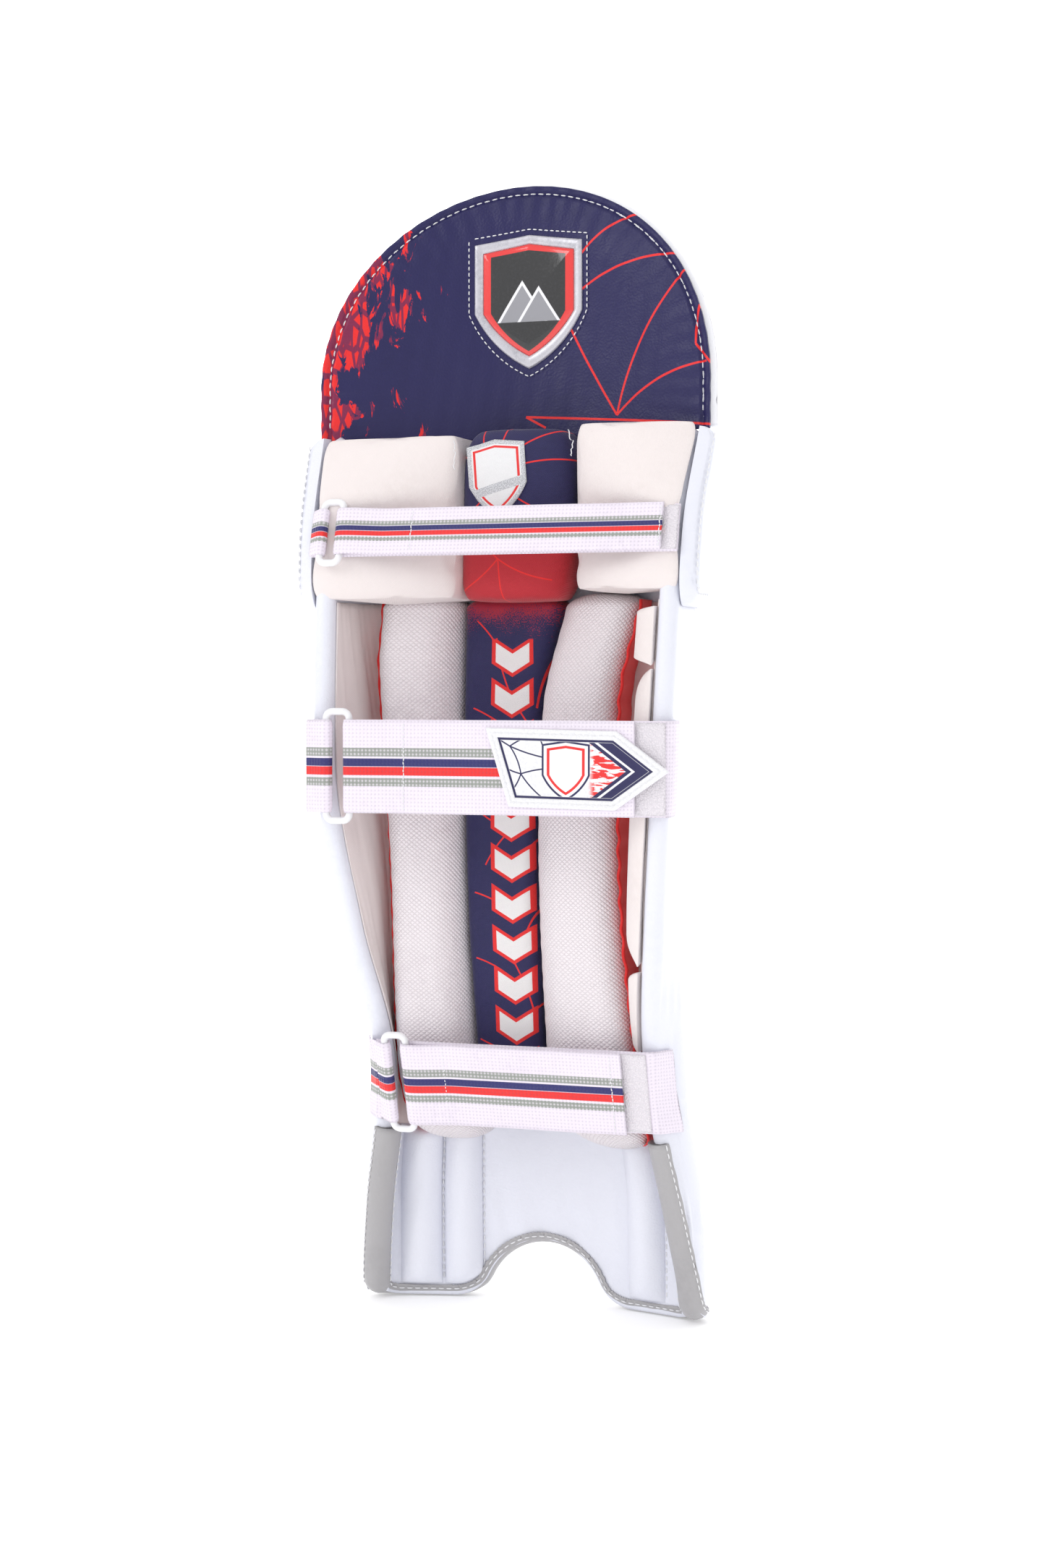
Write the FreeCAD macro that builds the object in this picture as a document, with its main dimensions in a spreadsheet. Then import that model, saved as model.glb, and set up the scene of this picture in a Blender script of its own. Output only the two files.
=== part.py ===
"""Cricket leg pad (batting leg guard), millimetres, +Z up.

The pad stands on its bottom edge. The leg side faces -Y, the ball side +Y and +X is to the right as
seen from the leg side. A padded U-shaped shell carries ribs and knee rolls in front, and bolsters,
knee pillows and three straps behind. Each strap passes through a ring and doubles back on itself.
"""
import FreeCAD, Part
import math
import os
import Sketcher

Vector = FreeCAD.Vector

# ---------------------------------------------------------------- driving dimensions
# Cross-sections of the shell, seen from above, at named heights: the front face on the centre line,
# the radius of the front, the half width over the corners, the corner radius, and the rear edge.
SECTION_COLUMNS = ("height", "front", "radius", "half", "corner", "edge_x", "edge_y")
SECTIONS = {
    "base": (0, 57, 260, 104, 20, 104, 15),
    "instep": (60, 55, 260, 103, 19, 94, 1),
    "ankle": (137, 43, 260, 95, 18, 82, -12),
    "shin": (230, 33, 220, 94, 22, 96, -43),
    "calf": (320, 30, 200, 98, 26, 105.5, -59),
    "crease": (405, 35, 190, 106, 28, 107, -53),
    "knee": (450, 35, 190, 108, 28, 108, -47),
    "seam": (508, 35, 190, 110, 26, 111, -23),
}

# The two long bolsters behind the shin: height, outer and inner edge of each, and their thickness.
BOLSTER_COLUMNS = ("height", "left_outer", "left_inner", "right_inner", "right_outer", "thick")
BOLSTERS = {
    "foot": (104, -62, -34, 28, 66, 9),
    "low": (128, -66, -28, 19, 69, 23),
    "lower": (180, -71, -28, 16, 69, 27),
    "middle": (262, -74, -28, 15, 69, 28),
    "upper": (353, -75, -28, 18, 72, 28),
    "head": (413, -77, -30, 29, 77, 23),
}

# The straps: webbing width, the ring's left bar from the shell's edge, the distance between the
# ring's bars, the free end, the hook length, the lean of the edge, and the gap behind that edge.
STRAP_COLUMNS = ("width", "bar", "pitch", "tip", "hook", "lean", "seat")
STRAPS = {
    "knee": (27, 7, 12, 99, 50, -16, 0.6),
    "calf": (52, 13, 14, 88, 60, 0, 2.6),
    "ankle": (50, 7, 13, 67, 60, 16, 0.8),
}

SIZES = {
    "cover_thick": 1.6, "foam_thick": 9.4, "lining_thick": 1.2, "layer_gap": 0.25,
    "foam_joint": 0.5,
    "arch_half": 58, "arch_rise": 36, "arch_crown_radius": 40,
    "binding_band": 8, "binding_lap": 0.8, "edge_binding_deep": 3, "edge_binding_top": 106,
    "rib_bottom": 8.4, "rib_top": 403, "rib_deep": 13, "rib_spread": 0.29, "rib_fill": 0.46,
    "rib_gap": 1.0, "cane_radius": 4, "cane_bottom": 56, "cane_top": 393, "cane_clearance": 0.15,
    "roll_bottom": 409, "roll_short": 2.5, "roll_seam": 1.0, "roll_deep": 17, "roll_angle": 28,
    "wing_bottom": 410, "wing_short": 2, "wing_thick": 9,
    "cushion_gap": 0.6, "cushion_bulge": 0.35, "core_cover": 3, "core_foot": 12,
    "strip_thick": 9, "strip_gap": 0.8,
    "pillow_gap": 2.5, "pillow_short": 3, "pillow_left": -28, "pillow_right": 40,
    "pillow_deep": 42, "pillow_bulge": 5, "centre_deep": 40, "centre_bulge": 4,
    "side_gap": 1.0, "side_start": 4.5, "side_shoulder": 0.6,
    "side_upper_bottom": 377, "side_upper_top": 407, "side_upper_long": 24, "side_upper_thick": 12,
    "side_pad_bottom": 213, "side_pad_top": 373, "side_pad_long": 24, "side_pad_thick": 11,
    "side_lower_bottom": 160, "side_lower_top": 205, "side_lower_long": 10, "side_lower_thick": 7,
    "instep_top": 103, "instep_roll_deep": 9,
    "flap_gap": 2, "flap_straight": 24, "flap_radius": 118, "flap_curve": 240,
    "flap_liner_y": 11, "flap_liner_thick": 1.6, "flap_foam_thick": 17, "flap_rim": 5,
    "badge_wide": 65, "badge_tall": 76, "badge_rise": 74, "badge_x": 2, "badge_thick": 2.4,
    "badge_border": 6, "badge_dome": 2,
    "shield_shoulder": 0.44, "shield_waist": 0.08, "shield_swing": 0.9, "shield_miter": 1.4,
    "patch_wide": 50, "patch_tall": 56, "patch_thick": 0.8, "patch_x": -3, "patch_height": 474,
    "web_thick": 1.6, "ring_bar": 4, "ring_fillet": 1.5, "ring_clearance": 0.4, "ring_margin": 2.5,
    "loop_thick": 0.8, "hook_thick": 1.0, "hook_gap": 0.1, "ramp": 25,
    "tip_patch_long": 78, "tip_patch_thick": 2.2, "tip_patch_tall": 54, "tip_patch_nose": 26,
    "tip_patch_slant": 14, "tip_patch_end": 108,
}

# The stuffed channels down the inside of the instep, as shares of the front's spread.
INSTEP_ROLLS = {"left_outer": (-0.96, -0.70), "left_inner": (-0.68, -0.44), "right": (0.62, 0.90)}

RIB_COUNT = 7
LOFT_STEP = 24

doc = FreeCAD.newDocument("LegPad")
sheet = doc.addObject("Spreadsheet::Sheet", "Dims")


def fill_sheet():
    """Write every driving dimension into the sheet, one aliased cell each."""
    named = dict(SIZES)
    for columns, table in ((SECTION_COLUMNS, SECTIONS), (BOLSTER_COLUMNS, BOLSTERS)):
        for row, values in table.items():
            for column, value in zip(columns, values):
                named["%s_%s" % (row, column)] = value
    for row, values in STRAPS.items():
        for column, value in zip(STRAP_COLUMNS, values):
            named["%s_strap_%s" % (row, column)] = value
    for line, (alias, value) in enumerate(named.items(), start=1):
        sheet.set("A%d" % line, alias)
        sheet.set("B%d" % line, str(value))
        sheet.setAlias("B%d" % line, alias)
    doc.recompute()


def size(alias):
    return float(getattr(sheet, alias))


# ---------------------------------------------------------------- document helpers
def new_body(label):
    body = doc.addObject("PartDesign::Body", label)
    body.Label = label
    return body


def new_sketch(body, name, role):
    """An empty sketch on one of the body's own origin planes."""
    sketch = body.newObject("Sketcher::SketchObject", name)
    plane = [item for item in body.Origin.OriginFeatures if item.Role == role][0]
    sketch.AttachmentSupport = [(plane, "")]
    sketch.MapMode = "FlatFace"
    return sketch


def draw(sketch, steps):
    """Draw one closed outline whose corners and radii are bound to expressions.

    Each step is (x, y) for a straight side to that corner, or (x, y, radius, turn) for an arc to it;
    turn is +1 for a counter-clockwise arc and -1 for a clockwise one.
    """
    corners = [Vector(float(sketch.evalExpression(step[0])), float(sketch.evalExpression(step[1])), 0)
               for step in steps]
    first = sketch.GeometryCount
    for index, step in enumerate(steps):
        start = corners[index - 1]
        end = corners[index]
        if len(step) == 2:
            sketch.addGeometry(Part.LineSegment(start, end), False)
        else:
            radius = float(sketch.evalExpression(step[2]))
            sketch.addGeometry(Part.ArcOfCircle(*arc_points(start, end, radius, step[3])), False)
    count = len(steps)
    for index, step in enumerate(steps):
        here = first + index
        after = first + (index + 1) % count
        turn = step[3] if len(step) == 4 else 1
        next_turn = steps[(index + 1) % count][3] if len(steps[(index + 1) % count]) == 4 else 1
        end_point = 2 if turn > 0 else 1
        start_point = 1 if next_turn > 0 else 2
        sketch.addConstraint(Sketcher.Constraint("Coincident", here, end_point, after, start_point))
        for kind, axis in (("DistanceX", 0), ("DistanceY", 1)):
            value = corners[index][axis]
            number = sketch.addConstraint(Sketcher.Constraint(kind, here, end_point, value))
            sketch.setExpression("Constraints[%d]" % number, step[axis])
        if len(step) == 4:
            radius = float(sketch.evalExpression(step[2]))
            number = sketch.addConstraint(Sketcher.Constraint("Radius", here, radius))
            sketch.setExpression("Constraints[%d]" % number, step[2])


def arc_points(start, end, radius, turn):
    """Three points on the short arc of a radius from start to end, turning left (+1) or right (-1)."""
    chord = end - start
    middle = (start + end) * 0.5
    side = Vector(chord.y, -chord.x, 0).normalize() * turn
    rise = radius - math.sqrt(radius ** 2 - (chord.Length / 2) ** 2)
    return start, middle + side * rise, end


def pad(body, sketch, name, length):
    feature = body.newObject("PartDesign::Pad", name)
    feature.Profile = sketch
    feature.setExpression("Length", length)
    return feature


def fillet(body, base, edges, radius, name):
    feature = body.newObject("PartDesign::Fillet", name)
    feature.Base = (base, edges)
    feature.setExpression("Radius", radius)
    return feature


def feature_from(label, shape):
    item = doc.addObject("Part::Feature", label)
    item.Label = label
    item.Shape = shape
    item.Placement = FreeCAD.Placement()
    return item


# ---------------------------------------------------------------- smooth tracks along the height
def track(columns, rows, column, height):
    """A value at a height, by a cubic through the table's rows that never overshoots them."""
    heights = [size("%s_%s" % (row, columns[0])) for row in rows]
    values = [size("%s_%s" % (row, column)) for row in rows]
    height = min(max(height, heights[0]), heights[-1])
    steps = [heights[i + 1] - heights[i] for i in range(len(rows) - 1)]
    slopes = [(values[i + 1] - values[i]) / steps[i] for i in range(len(rows) - 1)]
    tangents = [slopes[0]]
    for before, after in zip(slopes, slopes[1:]):
        tangents.append(2 * before * after / (before + after) if before * after > 0 else 0.0)
    tangents.append(slopes[-1])
    spot = max(i for i in range(len(steps)) if heights[i] <= height)
    share = (height - heights[spot]) / steps[spot]
    rest = 1 - share
    return ((1 + 2 * share) * rest ** 2 * values[spot]
            + share * rest ** 2 * steps[spot] * tangents[spot]
            + share ** 2 * (3 - 2 * share) * values[spot + 1]
            - share ** 2 * rest * steps[spot] * tangents[spot + 1])


class Section:
    """The shell's outline at one height: front arc, corner arcs and walls, all tangent."""

    def __init__(self, height):
        values = [track(SECTION_COLUMNS, SECTIONS, name, height) for name in SECTION_COLUMNS[1:]]
        self.height = height
        self.front, self.radius, self.half, self.corner, self.edge_x, self.edge_y = values
        self.axis_y = self.front - self.radius
        reach = self.radius - self.corner
        self.spread = math.asin((self.half - self.corner) / reach)
        self.centre = (reach * math.sin(self.spread), self.axis_y + reach * math.cos(self.spread))
        across = self.edge_x - self.centre[0]
        along = self.edge_y - self.centre[1]
        lean = math.acos(self.corner / math.hypot(across, along))
        self.wall_turn = math.atan2(along, across) + lean

    def on_front(self, turn, inset):
        """A point at an angle from the centre line, inset from the outer face."""
        radius = self.radius - inset
        return Vector(radius * math.sin(turn), self.axis_y + radius * math.cos(turn), self.height)

    def front_at(self, across, inset):
        """The point of the front at a distance across from the centre line."""
        return self.on_front(math.asin(across / (self.radius - inset)), inset)

    def on_corner(self, share, inset):
        """A point of the right corner: share 0 where the wall starts, 1 where the front does."""
        turn = self.wall_turn + share * (math.pi / 2 - self.spread - self.wall_turn)
        radius = self.corner - inset
        return Vector(self.centre[0] + radius * math.cos(turn),
                      self.centre[1] + radius * math.sin(turn), self.height)

    def edge(self, inset, beyond=0.0):
        """The rear end of the right wall, inset from its outer face, or a place beyond it."""
        across = math.cos(self.wall_turn)
        along = math.sin(self.wall_turn)
        return Vector(self.edge_x - inset * across + beyond * along,
                      self.edge_y - inset * along - beyond * across, self.height)

    def wall_run(self, inset, beyond=0.0, short=0.0):
        """The wall's straight side, from its rear end or beyond it to the corner or short of it."""
        edge = self.edge(inset)
        corner = self.on_corner(0, inset)
        back = (edge - corner).normalize()
        return [(self.edge(inset, beyond), corner + back * short)]

    def corner_run(self, inset):
        return [(self.on_corner(0, inset), self.on_corner(0.5, inset), self.on_corner(1, inset))]

    def front_run(self, inset):
        return [(self.on_front(self.spread, inset), self.on_front(0, inset),
                 self.on_front(-self.spread, inset))]


def mirrored(run):
    """The same run of edges on the left side, in the opposite order."""
    flipped = []
    for points in reversed(run):
        flipped.append(tuple(Vector(-point.x, point.y, point.z) for point in reversed(points)))
    return flipped


def closed_wire(outer, inner):
    """A wire along the outer run of edges and back along the inner one."""
    edges = []
    runs = list(outer)
    runs.append((outer[-1][-1], inner[-1][-1]))
    runs.extend(tuple(reversed(points)) for points in reversed(inner))
    runs.append((inner[0][0], outer[0][0]))
    for points in runs:
        if len(points) == 2:
            edges.append(Part.makeLine(*points))
        else:
            edges.append(Part.Arc(*points).toShape())
    return Part.Wire(edges)


def heights_between(bottom, top):
    count = max(2, int(math.ceil((top - bottom) / LOFT_STEP)))
    return [bottom + (top - bottom) * index / count for index in range(count + 1)]


def loft(profile, bottom, top, ruled=False):
    """A solid through the profile's wires at closely spaced heights."""
    wires = [profile(height) for height in heights_between(bottom, top)]
    return Part.makeLoft(wires, True, ruled)


# ---------------------------------------------------------------- the shell
def below_arch(lift):
    """All space under the bottom edge, whose arch over the foot is lifted by an amount."""
    half = size("arch_half")
    rise = size("arch_rise")
    crown = size("arch_crown_radius")
    flank = (half ** 2 + rise ** 2) / (2 * rise) - crown
    turn = math.asin(half / (crown + flank))
    join = Vector(crown * math.sin(turn), 0, rise - crown + crown * math.cos(turn) + lift)
    flank_middle = Vector(half - flank * math.sin(turn / 2), 0, flank - flank * math.cos(turn / 2) + lift)
    wide = 2 * size("base_half")
    deep = -4 * size("binding_band")

    def left(point):
        return Vector(-point.x, 0, point.z)

    foot = Vector(half, 0, lift)
    side = Vector(wide, 0, lift)
    low = Vector(wide, 0, deep)
    edges = [
        Part.makeLine(left(low), left(side)),
        Part.makeLine(left(side), left(foot)),
        Part.Arc(left(foot), left(flank_middle), left(join)).toShape(),
        Part.Arc(left(join), Vector(0, 0, rise + lift), join).toShape(),
        Part.Arc(join, flank_middle, foot).toShape(),
        Part.makeLine(foot, side),
        Part.makeLine(side, low),
        Part.makeLine(low, left(low)),
    ]
    face = Part.Face(Part.Wire(edges))
    face.translate(Vector(0, -wide, 0))
    return face.extrude(Vector(0, 2 * wide, 0))


def layer_insets():
    """Where the cover, the foam and the lining start and end, measured in from the outer face."""
    gap = size("layer_gap")
    foam_from = size("cover_thick") + gap
    foam_to = foam_from + size("foam_thick")
    lining_from = foam_to + gap
    return foam_from, foam_to, lining_from, lining_from + size("lining_thick")


def full_run(section, inset, beyond=0.0):
    side = section.wall_run(inset, beyond) + section.corner_run(inset)
    return side + section.front_run(inset) + mirrored(side)


def make_shell():
    foam_from, foam_to, lining_from, lining_to = layer_insets()
    seam = size("seam_height")
    band = size("binding_band")
    instep_top = size("instep_top")
    above_band = below_arch(band + size("layer_gap"))

    def cover(height):
        section = Section(height)
        return closed_wire(full_run(section, 0), full_run(section, size("cover_thick")))

    def foam_front(height):
        section = Section(height)
        runs = []
        for inset in (foam_from, foam_to):
            corner = section.corner_run(inset)
            runs.append(corner + section.front_run(inset) + mirrored(corner))
        return closed_wire(*runs)

    def foam_wall(height):
        section = Section(height)
        short = size("foam_joint")
        return closed_wire(section.wall_run(foam_from, short=short),
                           section.wall_run(foam_to, short=short))

    def lining_wall(height):
        section = Section(height)
        return closed_wire(section.wall_run(lining_from), section.wall_run(lining_to))

    def lining_instep(height):
        section = Section(height)
        return closed_wire(full_run(section, lining_from), full_run(section, lining_to))

    feature_from("front_cover", loft(cover, 0, seam).cut(above_band))
    feature_from("front_foam", loft(foam_front, 0, seam).cut(above_band))
    walls = {
        "wall_foam": loft(foam_wall, band + size("layer_gap"), seam),
        "wall_lining": loft(lining_wall, instep_top + size("layer_gap"), size("wing_bottom")),
    }
    for name, shape in walls.items():
        feature_from(name + "_right", shape)
        feature_from(name + "_left", shape.mirror(Vector(0, 0, 0), Vector(1, 0, 0)))
    feature_from("instep_lining", loft(lining_instep, 0, instep_top).cut(above_band))


def make_lower_binding():
    """Silver binding along the bottom edge and up the rear edge of each wall to the ankle strap."""
    lap = size("binding_lap")
    band = size("binding_band")
    deep = size("edge_binding_deep")
    inner = layer_insets()[3] + lap

    def rim_profile(height):
        section = Section(height)
        return closed_wire(full_run(section, -lap, deep), full_run(section, inner, deep))

    def edge_profile(height):
        section = Section(height)
        near = size("layer_gap")
        return closed_wire([(section.edge(-lap, near), section.edge(inner, near))],
                           [(section.edge(-lap, deep), section.edge(inner, deep))])

    rim = loft(rim_profile, 0, size("arch_rise") + band).cut(below_arch(0)).common(below_arch(band))
    edge = loft(edge_profile, band, size("edge_binding_top"))
    feature_from("lower_binding", rim.fuse([edge, edge.mirror(Vector(0, 0, 0), Vector(1, 0, 0))]))


def make_ribs():
    """Stuffed ribs side by side down the front, each round a cane rod."""
    above_band = below_arch(size("binding_band") + size("layer_gap"))
    canes = []
    for number in range(RIB_COUNT):
        place = number - (RIB_COUNT - 1) / 2

        def turn_of(section, shift, place=place):
            return (place + shift) * section.spread * size("rib_spread")

        def rib(height):
            section = Section(height)
            gap = -size("rib_gap")
            fill = size("rib_fill")
            start = section.on_front(turn_of(section, -fill), gap)
            top = section.on_front(turn_of(section, 0), gap - size("rib_deep"))
            end = section.on_front(turn_of(section, fill), gap)
            return Part.Wire([Part.makeLine(end, start), Part.Arc(start, top, end).toShape()])

        def rod(height, extra=0.0):
            section = Section(height)
            centre = section.on_front(turn_of(section, 0), -size("rib_gap") - size("rib_deep") / 2)
            circle = Part.Circle(centre, Vector(0, 0, 1), size("cane_radius") + extra)
            return Part.Wire([circle.toShape()])

        bottom = size("cane_bottom")
        top = size("cane_top")
        clearance = size("cane_clearance")
        hole = loft(lambda height: rod(height, clearance), bottom - clearance, top + clearance)
        body = loft(rib, size("rib_bottom"), size("rib_top")).cut(above_band).cut(hole)
        feature_from("front_rib_%d" % (number + 1), body)
        canes.append(loft(rod, bottom, top))
    feature_from("cane_rods", Part.makeCompound(canes))


def make_knee_rolls():
    """Three stuffed rolls across the front of the knee, turned about the front's own axis."""
    names = ("lower", "middle", "upper")
    count = len(names)
    tall = "((Dims.seam_height - Dims.roll_short - Dims.roll_bottom - %d * Dims.roll_seam) / %d)" % (
        count - 1, count)
    for number, name in enumerate(names):
        body = new_body("knee_roll_" + name)
        body.setExpression("Placement.Base.y", "Dims.knee_front - Dims.knee_radius")
        body.setExpression("Placement.Base.z",
                           "Dims.roll_bottom + %d * (%s + Dims.roll_seam)" % (number, tall))
        body.setExpression("Placement.Rotation.Angle", "-Dims.roll_angle")
        sketch = new_sketch(body, "roll_outline_" + name, "YZ_Plane")
        near = "Dims.knee_radius + Dims.rib_gap"
        bulge = "((%s) ^ 2 / 4 + Dims.roll_deep ^ 2) / (2 * Dims.roll_deep)" % tall
        draw(sketch, [(near, "0"), (near + " + Dims.roll_deep", tall + " / 2", bulge, 1),
                      (near, tall, bulge, 1)])
        turn = body.newObject("PartDesign::Revolution", "roll_turn_" + name)
        turn.Profile = sketch
        turn.ReferenceAxis = (sketch, ["V_Axis"])
        turn.setExpression("Angle", "2 * Dims.roll_angle")


def make_wings():
    """Padded wings over the outside of the knee, from the front corner to the rear edge."""
    def profile(height):
        section = Section(height)
        outer = -size("rib_gap") - size("wing_thick")
        runs = [section.wall_run(inset) + section.corner_run(inset)
                for inset in (outer, -size("rib_gap"))]
        return closed_wire(*runs)

    shape = loft(profile, size("wing_bottom"), size("seam_height") - size("wing_short"))
    feature_from("knee_wing_right", shape)
    feature_from("knee_wing_left", shape.mirror(Vector(0, 0, 0), Vector(1, 0, 0)))


# ---------------------------------------------------------------- cushions on the leg side
def cushion_profile(section, first, last, thick, inset=0.0):
    """A cushion's outline: its back along the shell's inner face, its face bulging to the rear."""
    base = layer_insets()[1] + size("cushion_gap") + inset
    start = section.front_at(first + inset, base)
    end = section.front_at(last - inset, base)
    side = Vector(0, -(thick - 2 * inset) * (1 - size("cushion_bulge")), 0)
    crown = (start + end) * 0.5 + Vector(0, -(thick - 2 * inset), 0)
    face = Part.Arc(end + side, crown, start + side).toShape()
    return Part.Wire([Part.makeLine(start, end), Part.makeLine(end, end + side), face,
                      Part.makeLine(start + side, start)])


def bolster_track(column, height):
    return track(BOLSTER_COLUMNS, BOLSTERS, column, height)


def make_bolsters():
    """Two long bolsters, each a mesh cover round a foam core, and the printed strip between them."""
    bottom = size("foot_height")
    top = size("head_height")
    cover = size("core_cover")
    for side, first, last in (("left", "left_outer", "left_inner"),
                              ("right", "right_inner", "right_outer")):
        def outline(height, inset=0.0, first=first, last=last):
            return cushion_profile(Section(height), bolster_track(first, height),
                                   bolster_track(last, height), bolster_track("thick", height),
                                   inset=inset)

        outer = loft(outline, bottom, top, True)
        low = bottom + size("core_foot")
        high = top - cover
        gap = size("layer_gap")
        hollow = loft(lambda height: outline(height, cover), low - gap, high + gap, True)
        core = loft(lambda height: outline(height, cover + gap), low, high, True)
        feature_from("bolster_%s" % side, outer.cut(hollow))
        feature_from("bolster_core_%s" % side, core)

    def strip(height):
        gap = size("strip_gap")
        return cushion_profile(Section(height), bolster_track("left_inner", height) + gap,
                               bolster_track("right_inner", height) - gap, size("strip_thick"))

    feature_from("shin_strip", loft(strip, bottom, top, True))


def pillow_rear(section, across):
    """How far to the rear the knee cushions reach at a place across the pad."""
    inner = layer_insets()[3] + size("cushion_gap")
    edge = section.edge(inner)
    middle = section.front_at(0, inner).y - size("pillow_deep")
    share = min(abs(across) / edge.x, 1.0)
    return middle + (edge.y - middle) * share ** 2


def make_knee_cushions():
    """Two knee pillows and the pad between them."""
    inner = layer_insets()[3] + size("cushion_gap")
    bottom = size("head_height") + size("pillow_gap")
    top = size("seam_height") - size("pillow_short")

    def pillow(height, across):
        section = Section(height)
        turn = math.asin(abs(across) / (section.radius - inner))
        middle_turn = (turn + section.spread) / 2
        front = [(section.on_front(section.spread, inner), section.on_front(middle_turn, inner),
                  section.on_front(turn, inner))]
        outer = section.wall_run(inner) + section.corner_run(inner) + front
        back = Vector(abs(across), pillow_rear(section, across), height)
        edge = section.edge(inner)
        crown = (back + edge) * 0.5 + Vector(0, -size("pillow_bulge"), 0)
        edges = [Part.makeLine(outer[0][0], outer[0][1])]
        edges.extend(Part.Arc(*points).toShape() for points in outer[1:])
        edges.append(Part.makeLine(outer[-1][-1], back))
        edges.append(Part.Arc(back, crown, edge).toShape())
        return Part.Wire(edges)

    left = loft(lambda height: pillow(height, size("pillow_left")), bottom, top, True)
    feature_from("knee_pillow_left", left.mirror(Vector(0, 0, 0), Vector(1, 0, 0)))
    right = loft(lambda height: pillow(height, size("pillow_right")), bottom, top, True)
    feature_from("knee_pillow_right", right)

    def centre(height):
        section = Section(height)
        gap = size("cushion_gap")
        first = size("pillow_left") + gap
        last = size("pillow_right") - gap
        start = section.front_at(first, inner)
        end = section.front_at(last, inner)
        near = Vector(end.x, end.y - size("centre_deep") + size("centre_bulge"), height)
        far = Vector(start.x, start.y - size("centre_deep") + size("centre_bulge"), height)
        crown = (near + far) * 0.5 + Vector(0, -size("centre_bulge"), 0)
        return Part.Wire([Part.makeLine(start, end), Part.makeLine(end, near),
                          Part.Arc(near, crown, far).toShape(), Part.makeLine(far, start)])

    feature_from("knee_centre_pad", loft(centre, bottom, top, True))


def make_side_pads():
    """Stuffed pieces along the inside of the right wall, behind the bolster."""
    inner = layer_insets()[3] + size("side_gap")
    for name in ("upper", "pad", "lower"):
        def profile(height, name=name):
            section = Section(height)
            edge = section.edge(inner)
            along = (section.on_corner(0, inner) - edge).normalize()
            across = Vector(-math.cos(section.wall_turn), -math.sin(section.wall_turn), 0)
            start = edge + along * size("side_start")
            end = start + along * size("side_%s_long" % name)
            thick = across * size("side_%s_thick" % name)
            soft = thick * size("side_shoulder")
            crown = (start + end) * 0.5 + thick
            return Part.Wire([Part.makeLine(start, end), Part.makeLine(end, end + soft),
                              Part.Arc(end + soft, crown, start + soft).toShape(),
                              Part.makeLine(start + soft, start)])

        label = "side_pad" if name == "pad" else "side_roll_" + name
        feature_from(label, loft(profile, size("side_%s_bottom" % name), size("side_%s_top" % name),
                                 True))


def make_instep_rolls():
    """Stuffed channels down the inside of the instep, each between two shares of the front's spread."""
    above_band = below_arch(size("binding_band") + size("layer_gap"))
    base = layer_insets()[3] + size("cushion_gap")
    for name, (first, last) in INSTEP_ROLLS.items():
        def profile(height, first=first, last=last):
            section = Section(height)
            start = section.on_front(first * section.spread, base)
            end = section.on_front(last * section.spread, base)
            inward = section.on_front((first + last) / 2 * section.spread,
                                      base + size("instep_roll_deep"))
            return Part.Wire([Part.makeLine(end, start), Part.Arc(start, inward, end).toShape()])

        shape = loft(profile, size("rib_bottom"), size("instep_top"), True).cut(above_band)
        feature_from("instep_roll_" + name, shape)


# ---------------------------------------------------------------- the top flap and its badge
def outline_extrusion(name, steps):
    """A tall closed outline in the XZ plane, extruded through the pad from front to rear."""
    sketch = doc.addObject("Sketcher::SketchObject", name + "_outline")
    sketch.Placement = FreeCAD.Placement(Vector(0, 0, 0), FreeCAD.Rotation(Vector(1, 0, 0), 90))
    draw(sketch, steps)
    block = doc.addObject("Part::Extrusion", name + "_block")
    block.Base = sketch
    block.Dir = Vector(0, -1, 0)
    block.setExpression("LengthFwd", "Dims.flap_radius")
    block.setExpression("LengthRev", "Dims.flap_radius")
    block.Solid = True
    return block


def curved_layer(label, near, far, steps):
    """A panel of the flap's curve between two radii, trimmed to an outline."""
    pipes = []
    for end, radius in (("far", far), ("near", near)):
        pipe = doc.addObject("Part::Cylinder", "%s_%s" % (label, end))
        pipe.setExpression("Radius", radius)
        pipe.setExpression("Height", "2 * (Dims.seam_height + Dims.flap_radius)")
        pipe.setExpression("Placement.Base.y", "Dims.flap_liner_y - Dims.flap_curve")
        pipes.append(pipe)
    ring = doc.addObject("Part::Cut", label + "_ring")
    ring.Base, ring.Tool = pipes
    block = outline_extrusion(label, steps)
    panel = doc.addObject("Part::Common", label)
    panel.Base = ring
    panel.Tool = block
    panel.Label = label
    return panel


def flap_outline(inset):
    """Straight sides under a half circle, drawn an inset inside the flap's edge."""
    radius = "(Dims.flap_radius - %s)" % inset
    low = "Dims.seam_height + Dims.flap_gap"
    spring = low + " + Dims.flap_straight"
    return [("-" + radius, low), (radius, low), (radius, spring),
            ("0", spring + " + " + radius, radius, 1), ("-" + radius, spring, radius, 1)]


def shield_outline(wide, tall, centre_x, centre_z, inset):
    """A shield: a slightly arched top, upright sides and two long curves to the point below."""
    half = "(%s / 2 - %s)" % (wide, inset)
    top = "%s + %s * Dims.shield_shoulder - %s" % (centre_z, tall, inset)
    crest = "%s + %s / 2 - %s" % (centre_z, tall, inset)
    low = "%s - %s * Dims.shield_waist" % (centre_z, tall)
    point = "%s - %s / 2 + Dims.shield_miter * %s" % (centre_z, tall, inset)
    swing = "%s * Dims.shield_swing" % tall
    return [("%s - %s" % (centre_x, half), top), ("%s - %s" % (centre_x, half), low),
            (centre_x, point, swing, 1), ("%s + %s" % (centre_x, half), low, swing, 1),
            ("%s + %s" % (centre_x, half), top), (centre_x, crest)]


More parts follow.
